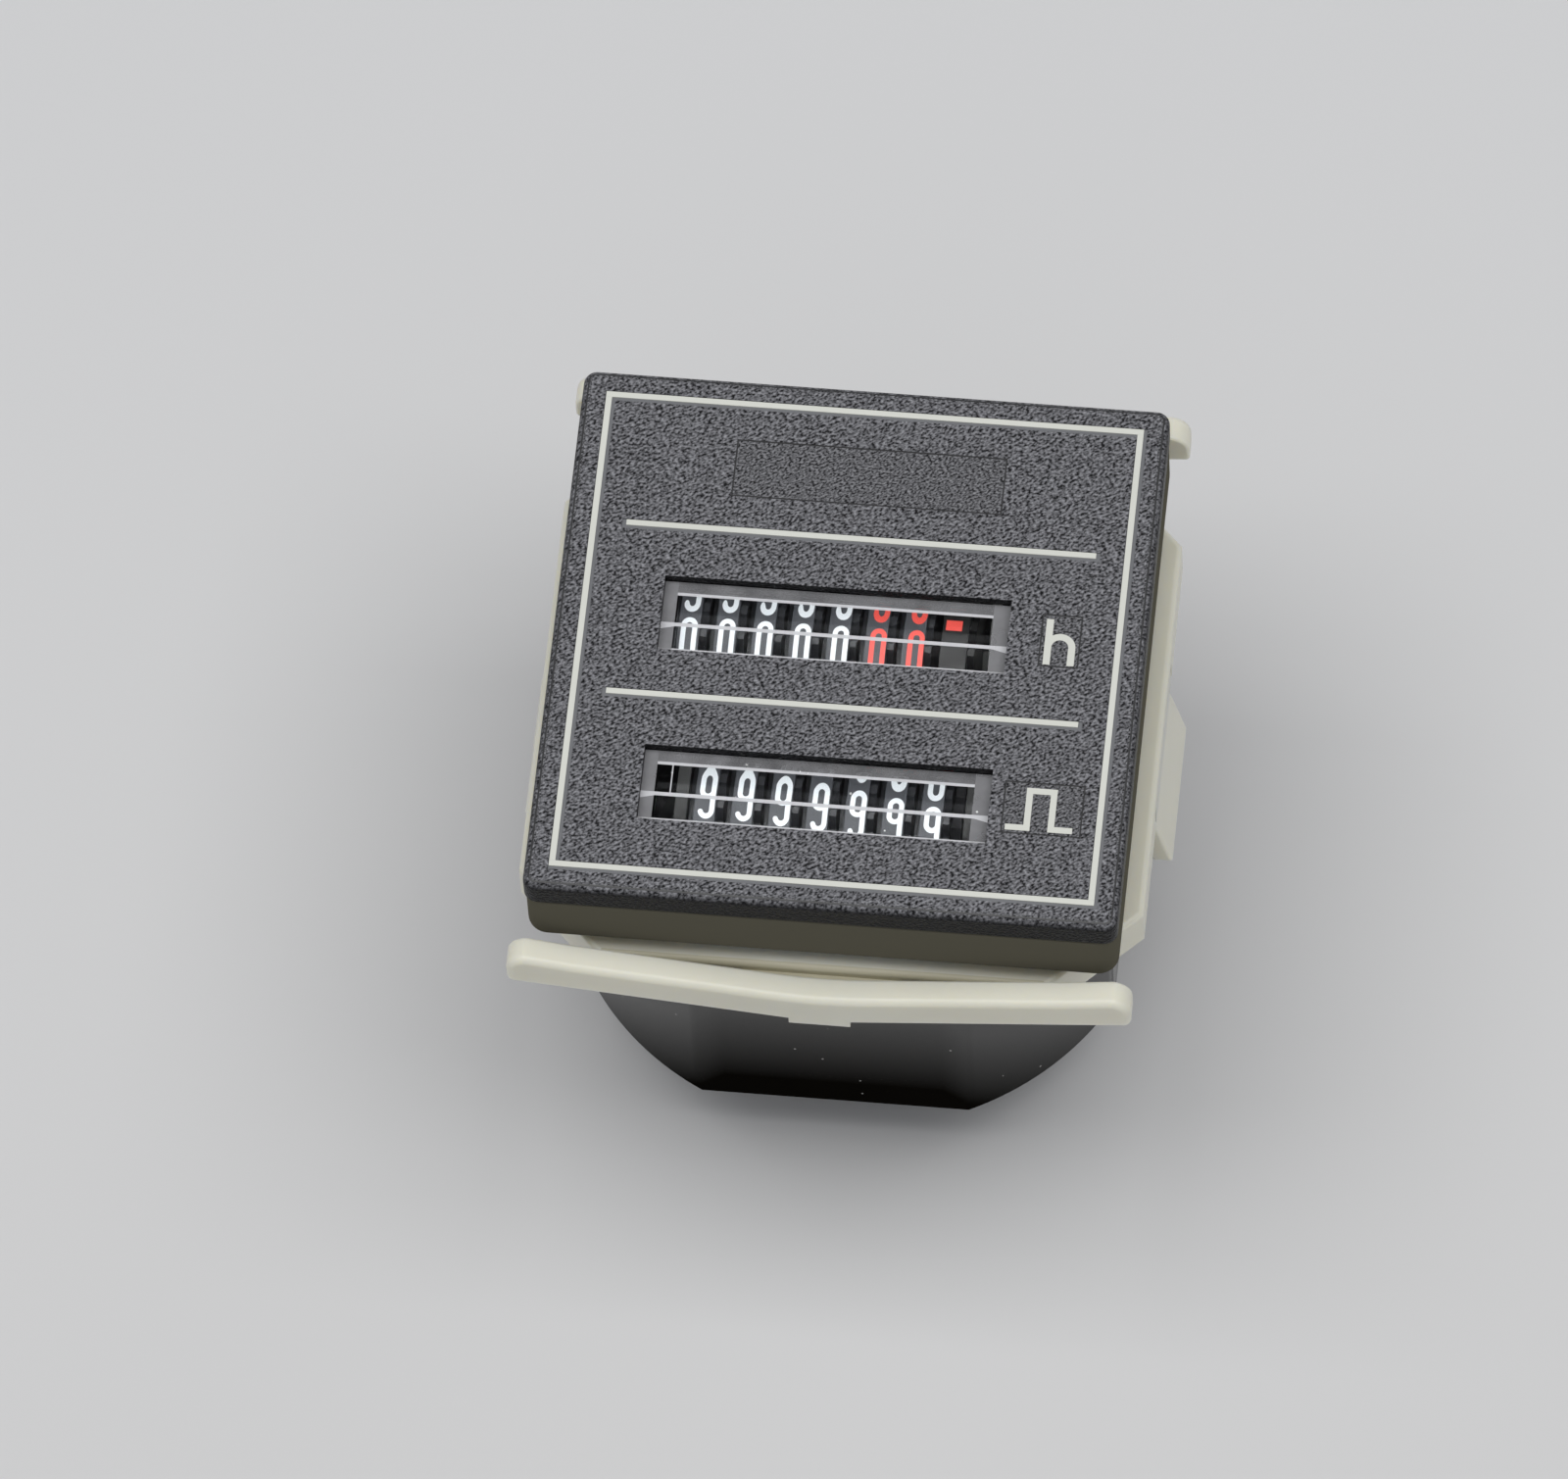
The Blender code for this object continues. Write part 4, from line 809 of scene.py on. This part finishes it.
def film_material(name, colour, cover, spread, scale):
    """Thin cloudy film that lets part of what lies behind it through."""
    material, tree, shader = node_material(name)
    surface = tree.nodes.new("ShaderNodeGroup")
    surface.node_tree = surface_group
    surface.inputs["Scale"].default_value = scale
    shader.inputs["Base Color"].default_value = (*colour, 1.0)
    shader.inputs["Roughness"].default_value = 0.5
    cloudy = tree.nodes.new("ShaderNodeMapRange")
    cloudy.inputs["To Min"].default_value = max(0.0, cover - spread)
    cloudy.inputs["To Max"].default_value = min(1.0, cover + spread)
    tree.links.new(surface.outputs["Height"], cloudy.inputs["Value"])
    tree.links.new(cloudy.outputs["Result"], shader.inputs["Alpha"])
    cast_no_shadow(tree, shader, (1.0, 1.0, 1.0))
    return material


haze_side = film_material("haze_side", (0.24, 0.24, 0.25), cover=0.74, spread=0.5, scale=330.0)
haze_top = film_material("haze_top", (0.25, 0.25, 0.26), cover=0.36, spread=0.3, scale=420.0)
# The top, middle and bottom bright lines are painted highlights in a light grey.
bright_line = film_material("bright_line", (0.62, 0.62, 0.64), cover=0.72, spread=0.12, scale=900.0)


def film(name, row_y, x_low, x_high, y_low, y_high, material, lift=0.01, flare=0.0):
    """Sheet on the front of the lens; flare widens its ends downward."""
    height = FACE - (LENS_FRONT - lift) * MM
    corners = [(x_low, y_low - flare), (x_low + 4 * flare, y_low)] if flare else [(x_low, y_low)]
    corners += [(x_high - 4 * flare, y_low), (x_high, y_low - flare)] if flare else [(x_high, y_low)]
    corners += [(x_high, y_high), (x_low, y_high)]
    sheet = moulding(
        polygon([(x * MM, row_y + y * MM) for x, y in corners]), height - 0.006 * MM, height,
    )
    return finish_piece(name, sheet, material, "instrument")


for row, row_y in (("hour", HOUR_ROW_Y), ("count", COUNT_ROW_Y)):
    finish_piece(
        f"{row}_window", lens_mesh(row_y), clear_plastic,
        "instrument", [f"{row}_lens"], sharp=20.0,
    )
    left, right_end = WINDOW_X - WINDOW_HALF_WIDTH, WINDOW_X + WINDOW_HALF_WIDTH
    inner_left, inner_right = left + 1.1, right_end - 1.4
    for side, x_low, x_high in (("left", left, inner_left), ("right", inner_right, right_end)):
        film(f"{row}_rim_{side}", row_y, x_low, x_high, -WINDOW_HALF_HEIGHT, WINDOW_HALF_HEIGHT, haze_side)
    film(f"{row}_rim_top", row_y, inner_left, inner_right, 2.42, WINDOW_HALF_HEIGHT, haze_top)
    film(f"{row}_line_top", row_y, inner_left, inner_right, 2.16, 2.42, bright_line)
    film(f"{row}_line_middle", row_y, left, right_end, -0.70, -0.37, bright_line, lift=0.03, flare=0.3)
    film(f"{row}_line_bottom", row_y, left, right_end, -2.90, -2.76, bright_line)

# Specks of dust lie on both windows, and the lower one has a fine upright line near its left end.
window_dust, tree, shader = node_material("window_dust")
surface = tree.nodes.new("ShaderNodeGroup")
surface.node_tree = surface_group
surface.inputs["Scale"].default_value = 500.0
surface.inputs["Dust"].default_value = 1.0
shader.inputs["Base Color"].default_value = (0.75, 0.75, 0.74, 1.0)
shader.inputs["Roughness"].default_value = 0.7
tree.links.new(surface.outputs["Specks"], shader.inputs["Alpha"])
for row, row_y in (("hour", HOUR_ROW_Y), ("count", COUNT_ROW_Y)):
    film(f"{row}_dust", row_y, WINDOW_X - 14.0, WINDOW_X + 14.0, -3.3, 3.3, window_dust, lift=0.06)
film("count_line_upright", COUNT_ROW_Y, -13.1, -13.0, -0.5, 2.16, bright_line)

# Front cap: black plastic moulded with a coarse grain, clipped over the housing's rim; the grain's sparkle
# is painted into its colour as painted glints.
# The printed lines lie in shallow smooth channels, and fine joints show where mould inserts met.

CAP_TOP = FACE - 0.02 * MM
CHANNEL, JOINT, INSERT = 0.09 * MM, 0.04 * MM, 0.012 * MM
JOINT_WIDTH = 0.13
FRAME_HALF, LINE_WIDTH = 22.0, 0.5
cap = moulding(rounded_square(48.0 * MM, 1.1 * MM), FACE - 2.7 * MM, CAP_TOP, 0.1 * MM, 0.7 * MM, 7)
cap_hollow = moulding(rounded_square(45.8 * MM, 0.75 * MM), FACE - 4.0 * MM, FACE - 0.8 * MM)
openings = []
for row_y in (HOUR_ROW_Y, COUNT_ROW_Y):
    openings.append(moulding(rectangle(
        (WINDOW_X - WINDOW_HALF_WIDTH) * MM, (WINDOW_X + WINDOW_HALF_WIDTH) * MM,
        row_y - WINDOW_HALF_HEIGHT * MM, row_y + WINDOW_HALF_HEIGHT * MM,
    ), FACE - 2.0 * MM, FACE + MM))


def channel(x_low, x_high, y_low, y_high, depth=CHANNEL):
    """Cutter for a shallow channel in the face."""
    return moulding(
        rectangle(x_low * MM, x_high * MM, y_low * MM, y_high * MM), CAP_TOP - depth, CAP_TOP + 0.5 * MM,
    )


def channel_ring(low, high, width, shift):
    """Cutter for a square ring of channel; the shift widens it to the right and downward."""
    outer = channel(low - 0.05, high + shift, low - shift, high + 0.05)
    inner = moulding(
        rectangle(
            (low + width + shift) * MM, (high - width - 0.05) * MM, (low + width + 0.05) * MM,
            (high - width - shift) * MM,
        ), CAP_TOP - MM, CAP_TOP + MM,
    )
    return carve(outer, cuts=[inner])


def insert_mark(x_low, x_high, y_low, y_high):
    """Cutter for the mark of a mould insert: a level a hair below the face, with a fine joint round it."""
    outer = channel(x_low, x_high, y_low, y_high, JOINT)
    inner = moulding(rectangle(
        (x_low + JOINT_WIDTH) * MM, (x_high - JOINT_WIDTH) * MM,
        (y_low + JOINT_WIDTH) * MM, (y_high - JOINT_WIDTH) * MM,
    ), CAP_TOP - MM, CAP_TOP - INSERT)
    return carve(outer, cuts=[inner])


RULES = (9.97, -5.65)
cuts = [cap_hollow] + openings + [channel_ring(-FRAME_HALF, FRAME_HALF, LINE_WIDTH, 0.3)]
cuts += [channel(-19.45, 19.55, y - 0.55, y + 0.3) for y in RULES]
cuts += [insert_mark(*ends) for ends in (
    (-10.9, 11.2, 13.1, 18.4), (15.4, 18.7, -0.56, 4.3), (13.85, 20.35, -16.0, -11.2),
)]

# The grain gives the height of its bumps, and a mask of the crests where bright glints are painted into the
# colour.
grain_group, group_in, group_out = new_group("grain_and_painted_glints", [("Scale", 4300.0)], ["Height", "PaintedGlint"])
spot = grain_group.nodes.new("ShaderNodeTexCoord").outputs["Object"]
stretch = grain_group.nodes.new("ShaderNodeMapping")
stretch.vector_type = "TEXTURE"
stretch.inputs["Rotation"].default_value = (0.0, 0.0, math.radians(30.0))
stretch.inputs["Scale"].default_value = (1.3, 0.9, 1.0)
grain_group.links.new(spot, stretch.inputs["Vector"])
coarse = noise_node(grain_group, stretch.outputs["Vector"], group_in.outputs["Scale"], 2.0)
glint_mask = grain_group.nodes.new("ShaderNodeMapRange")
glint_mask.inputs["From Min"].default_value = 0.36
glint_mask.inputs["From Max"].default_value = 0.74
grain_group.links.new(coarse, glint_mask.inputs["Value"])
grain_group.links.new(coarse, group_out.inputs["Height"])
grain_group.links.new(glint_mask.outputs["Result"], group_out.inputs["PaintedGlint"])


def grained_plastic(name, glint_colour, scale, bump):
    """Black plastic with a grain whose crests are painted bright as painted glints, less so on the steep
    sides.
    """
    material, tree, shader = node_material(name)
    grain = tree.nodes.new("ShaderNodeGroup")
    grain.node_tree = grain_group
    grain.inputs["Scale"].default_value = scale
    facing = tree.nodes.new("ShaderNodeSeparateXYZ")
    tree.links.new(tree.nodes.new("ShaderNodeTexCoord").outputs["Normal"], facing.inputs["Vector"])
    glint_level_share = tree.nodes.new("ShaderNodeMapRange")
    glint_level_share.inputs["From Min"].default_value = 0.2
    glint_level_share.inputs["From Max"].default_value = 0.95
    glint_level_share.inputs["To Min"].default_value = 0.04
    tree.links.new(facing.outputs["Z"], glint_level_share.inputs["Value"])
    painted_glints = math_node(tree, "MULTIPLY", grain.outputs["PaintedGlint"], glint_level_share.outputs["Result"])
    drift = tree.nodes.new("ShaderNodeMix")
    drift.data_type = "RGBA"
    drift.inputs["A"].default_value = (0.006, 0.006, 0.007, 1.0)
    drift.inputs["B"].default_value = (*glint_colour, 1.0)
    tree.links.new(painted_glints, drift.inputs["Factor"])
    tree.links.new(drift.outputs["Result"], shader.inputs["Base Color"])
    gloss_and_painted_shade = tree.nodes.new("ShaderNodeMapRange")
    gloss_and_painted_shade.inputs["To Min"].default_value = 0.42
    gloss_and_painted_shade.inputs["To Max"].default_value = 0.28
    tree.links.new(grain.outputs["Height"], gloss_and_painted_shade.inputs["Value"])
    tree.links.new(gloss_and_painted_shade.outputs["Result"], shader.inputs["Roughness"])
    shader.inputs["Specular IOR Level"].default_value = 0.1
    relief = tree.nodes.new("ShaderNodeBump")
    relief.inputs["Strength"].default_value = 1.0
    relief.inputs["Distance"].default_value = bump
    tree.links.new(grain.outputs["Height"], relief.inputs["Height"])
    tree.links.new(relief.outputs["Normal"], shader.inputs["Normal"])
    return material


grained_black = grained_plastic("black_grained_plastic", (0.31, 0.31, 0.33), scale=4300.0, bump=0.18 * MM)
insert_grain = grained_plastic("insert_grain", (0.28, 0.28, 0.295), scale=5200.0, bump=0.12 * MM)
channel_floor = moulded_finish(
    "channel_floor", (0.14, 0.143, 0.152), (0.17, 0.173, 0.182),
    roughness=0.4, bump=0.3, scale=1500.0, dust=0.2,
)
insert_joint = moulded_finish(
    "insert_joint", (0.020, 0.020, 0.021), (0.030, 0.030, 0.031),
    roughness=0.4, bump=0.2, scale=1500.0, dust=0.0,
)
finish_piece(
    "cap_shell", carve(cap, cuts=cuts), grained_black, "instrument", ["front_cap"],
    parts=[
        (floor_at(CAP_TOP - CHANNEL), channel_floor), (floor_at(CAP_TOP - JOINT), insert_joint),
        (floor_at(CAP_TOP - INSERT), insert_grain),
    ],
)

# Print: an off-white square frame, two rules and two signs, an h for hours and a pulse for counts.
# The ink is thick and satin, and fills the channels nearly to the face.

print_white = moulded_finish(
    "print_white", (0.59, 0.595, 0.54), (0.65, 0.655, 0.60),
    roughness=0.5, bump=0.5, scale=1600.0, dust=0.0,
)


def printed(name, outlines):
    """Ink laid between the channel's floor and the face."""
    bodies = [
        moulding(polygon(outline), CAP_TOP - 0.1 * MM, FACE - 0.001 * MM, 0.0, 0.015 * MM, 2)
        for outline in outlines
    ]
    finish_piece(name, merged(bodies), print_white, "instrument")


def bar(x_low, x_high, y_low, y_high):
    """Corners of a straight bar in metres."""
    corners = ((x_low, y_low), (x_high, y_low), (x_high, y_high), (x_low, y_high))
    return [(x * MM, y * MM) for x, y in corners]


inside = FRAME_HALF - LINE_WIDTH
printed("printed_frame", [
    bar(-FRAME_HALF, FRAME_HALF, inside, FRAME_HALF), bar(-FRAME_HALF, FRAME_HALF, -FRAME_HALF, -inside),
    bar(-FRAME_HALF, -inside, -inside, inside), bar(inside, FRAME_HALF, -inside, inside),
])
for name, y in zip(("upper_rule", "lower_rule"), RULES):
    printed(name, [bar(-19.1, 19.2, y - LINE_WIDTH / 2, y + LINE_WIDTH / 2)])


def sign(name, outlines, x, y):
    """Sign of even strokes with square ends, from one or more outlines in mm that run into each other."""
    bodies = []
    for outline in outlines:
        corners = [((x + u) * MM, (y + v) * MM) for u, v in outline]
        bodies.append(moulding(polygon(corners), CAP_TOP - 0.1 * MM, FACE - 0.001 * MM))
    mesh = carve(bodies[0], adds=bodies[1:])
    finish_piece(name, mesh, print_white, "instrument")


h_half, h_top, stem = 1.265, 2.1, 0.58
arch_y = 0.8 - h_half
arch = bend(0.0, arch_y, h_half, 0, 160, 16) + bend(0.0, arch_y, h_half - stem, 172, 0, 14)
sign("hours_sign", [
    [(-h_half, -h_top), (stem - h_half, -h_top), (stem - h_half, h_top), (-h_half, h_top)],
    arch + [(h_half - stem, -h_top), (h_half, -h_top)],
], 17.06, 1.74)
pulse_half, pulse_top, pulse_end, stroke = 0.98, 1.70, 2.72, 0.265
right_side = [
    (pulse_half - stroke, pulse_top - stroke), (pulse_half - stroke, -pulse_top - stroke),
    (pulse_end, -pulse_top - stroke), (pulse_end, stroke - pulse_top),
    (pulse_half + stroke, stroke - pulse_top), (pulse_half + stroke, pulse_top + stroke),
]
sign("pulse_sign", [right_side + [(-x, y) for x, y in reversed(right_side)]], 16.91, -13.71)

# Clamping frame: one moulding of natural nylon, pushed onto the body from behind. Two bowed bars press on
# the panel, and a tongue on each side catches in the saw teeth. It is satin and slightly see-through.

nylon, tree, shader = node_material("natural_nylon")
surface = tree.nodes.new("ShaderNodeGroup")
surface.node_tree = surface_group
surface.inputs["Scale"].default_value = 700.0
surface.inputs["Dust"].default_value = 0.15
drift = tree.nodes.new("ShaderNodeMix")
drift.data_type = "RGBA"
drift.inputs["A"].default_value = (0.65, 0.635, 0.53, 1.0)
drift.inputs["B"].default_value = (0.72, 0.705, 0.61, 1.0)
tree.links.new(surface.outputs["Tone"], drift.inputs["Factor"])
tree.links.new(drift.outputs["Result"], shader.inputs["Base Color"])
shader.inputs["Roughness"].default_value = 0.36
shader.inputs["Subsurface Weight"].default_value = 0.35
shader.inputs["Subsurface Radius"].default_value = (0.0026, 0.0022, 0.0013)
shader.inputs["Subsurface Scale"].default_value = 1.0
relief = tree.nodes.new("ShaderNodeBump")
relief.inputs["Strength"].default_value = 0.35
relief.inputs["Distance"].default_value = 0.08 * MM
tree.links.new(surface.outputs["Height"], relief.inputs["Height"])
tree.links.new(relief.outputs["Normal"], shader.inputs["Normal"])

RING_FRONT, RING_REAR = FACE - 10.0 * MM, FACE - 14.5 * MM
RING_SIDE, BEAM_SIDE, CORNER_START = 25.4, 24.4, 17.15
octagon = []
for x_way, y_way in ((1, -1), (1, 1), (-1, 1), (-1, -1)):
    corner = [
        (x_way * (RING_SIDE + CORNER_START - BEAM_SIDE), y_way * BEAM_SIDE),
        (x_way * RING_SIDE, y_way * CORNER_START),
    ]
    octagon += corner if x_way * y_way < 0 else reversed(corner)
ring = moulding(polygon([(x * MM, y * MM) for x, y in octagon]), RING_REAR, RING_FRONT, 0.4 * MM, 0.5 * MM)
cut_low, cut_step = RING_REAR - 1.5 * MM, RING_FRONT - 1.9 * MM
ring_cuts = [moulding(circle_with_flats(25.0 * MM, 22.8 * MM), cut_low, RING_FRONT + MM)]
for way in (-1, 1):
    y_ends = sorted((way * 21.0 * MM, way * 27.0 * MM))
    ring_cuts.append(moulding(rectangle(-16.35 * MM, 16.35 * MM, *y_ends), cut_low, cut_step))
    for x_way in (-1, 1):
        x_ends = sorted((x_way * 21.0 * MM, x_way * 27.0 * MM))
        y_slot = sorted((way * 6.35 * MM, way * 7.15 * MM))
        ring_cuts.append(moulding(rectangle(*x_ends, *y_slot), cut_low, cut_step))
clamp_bodies = [carve(ring, cuts=ring_cuts)]
BAR_HALF, BAR_SHOULDER, BAR_HEIGHT, BAR_Y = 25.3, 1.8, 3.2, 26.25 * MM
END_DEPTH, BOW, BEND_HALF = 6.7, 3.5, 4.0


def leaf_depth(x):
    """Depth of a bar's front edge: two straight arms and a round bend between them."""
    slope = BOW / BAR_HALF
    if abs(x) > BEND_HALF:
        return END_DEPTH + BOW - slope * abs(x)
    return END_DEPTH + BOW - slope * (BEND_HALF ** 2 + x ** 2) / (2 * BEND_HALF)


lug_half, lug_base = 2.5, -leaf_depth(0.0) - BAR_HEIGHT - 0.7
foot = [(x, -leaf_depth(x) - BAR_HEIGHT) for x in (-BAR_HALF, -lug_half)]
foot += [(-lug_half, lug_base), (lug_half, lug_base)] + [(-x, z) for x, z in reversed(foot)]
foot_end = foot[0][1]
below = [(-BAR_HALF - 2, foot_end - 6), (BAR_HALF + 2, foot_end - 6), (BAR_HALF + 2, foot_end - 0.01)]
below += list(reversed(foot)) + [(-BAR_HALF - 2, foot_end - 0.01)]
shoulder = bend(BAR_HALF - BAR_SHOULDER, -leaf_depth(BAR_HALF) - BAR_SHOULDER, BAR_SHOULDER, 0, 84, 8)
leaf = [(-BAR_HALF, foot_end - 1.6), (0.0, lug_base - 1.6), (BAR_HALF, foot_end - 1.6)]
leaf += shoulder + [(x / 2, -leaf_depth(x / 2)) for x in range(40, -41, -2)]
leaf += [(-x, z) for x, z in reversed(shoulder)]
for way in (-1, 1):
    edges = (0.6 * MM, 0.3 * MM) if way > 0 else (0.3 * MM, 0.6 * MM)
    bar_mesh = carve(
        moulding(polygon([(x * MM, z * MM) for x, z in leaf]), -1.15 * MM, 1.15 * MM, *edges, 6),
        cuts=[moulding(polygon([(x * MM, z * MM) for x, z in below]), -2 * MM, 2 * MM)],
    )
    bar_mesh.transform(Matrix.Rotation(math.pi / 2, 4, "X"))
    bar_mesh.transform(Matrix.Translation((0.0, way * BAR_Y, FACE)))
    clamp_bodies.append(bar_mesh)
    y_ends = sorted((way * 23.1 * MM, way * BAR_Y))
    clamp_bodies.append(moulding(
        rectangle(-6.5 * MM, 6.5 * MM, *y_ends), FACE - 12.2 * MM, FACE - 10.9 * MM, 0.2 * MM, 0.3 * MM, 3,
    ))
for way in (-1, 1):
    tongue = [
        (23.6, -12.25), (23.6, -15.3), (22.6, -15.85), (22.6, -16.25), (23.6, -17.45), (25.0, -21.0),
        (26.6, -21.0), (25.2, -14.5), (25.2, -12.25),
    ]
    corners = [(way * x * MM, z * MM) for x, z in tongue]
    if way < 0:
        corners.reverse()
    latch = moulding(polygon(corners), -6.35 * MM, 6.35 * MM, 0.3 * MM, 0.3 * MM, 4)
    latch.transform(Matrix.Rotation(math.pi / 2, 4, "X"))
    latch.transform(Matrix.Translation((0.0, 0.0, FACE)))
    clamp_bodies.append(latch)
shaded_nylon = moulded_finish(
    "shaded_nylon", (0.46, 0.43, 0.31), (0.54, 0.505, 0.38),
    roughness=0.4, bump=0.35, scale=700.0, dust=0.1,
)


def inner_beam(face):
    """Test for the faces of the ring's beams beside the bars, which catch little light and look warmer."""
    return 20.0 * MM < abs(face.center.y) < 24.95 * MM and abs(face.center.x) < 18.0 * MM


finish_piece(
    "clamp_moulding", merged(clamp_bodies), nylon, "clamp", ["clamp_frame"],
    parts=[(inner_beam, shaded_nylon)],
)
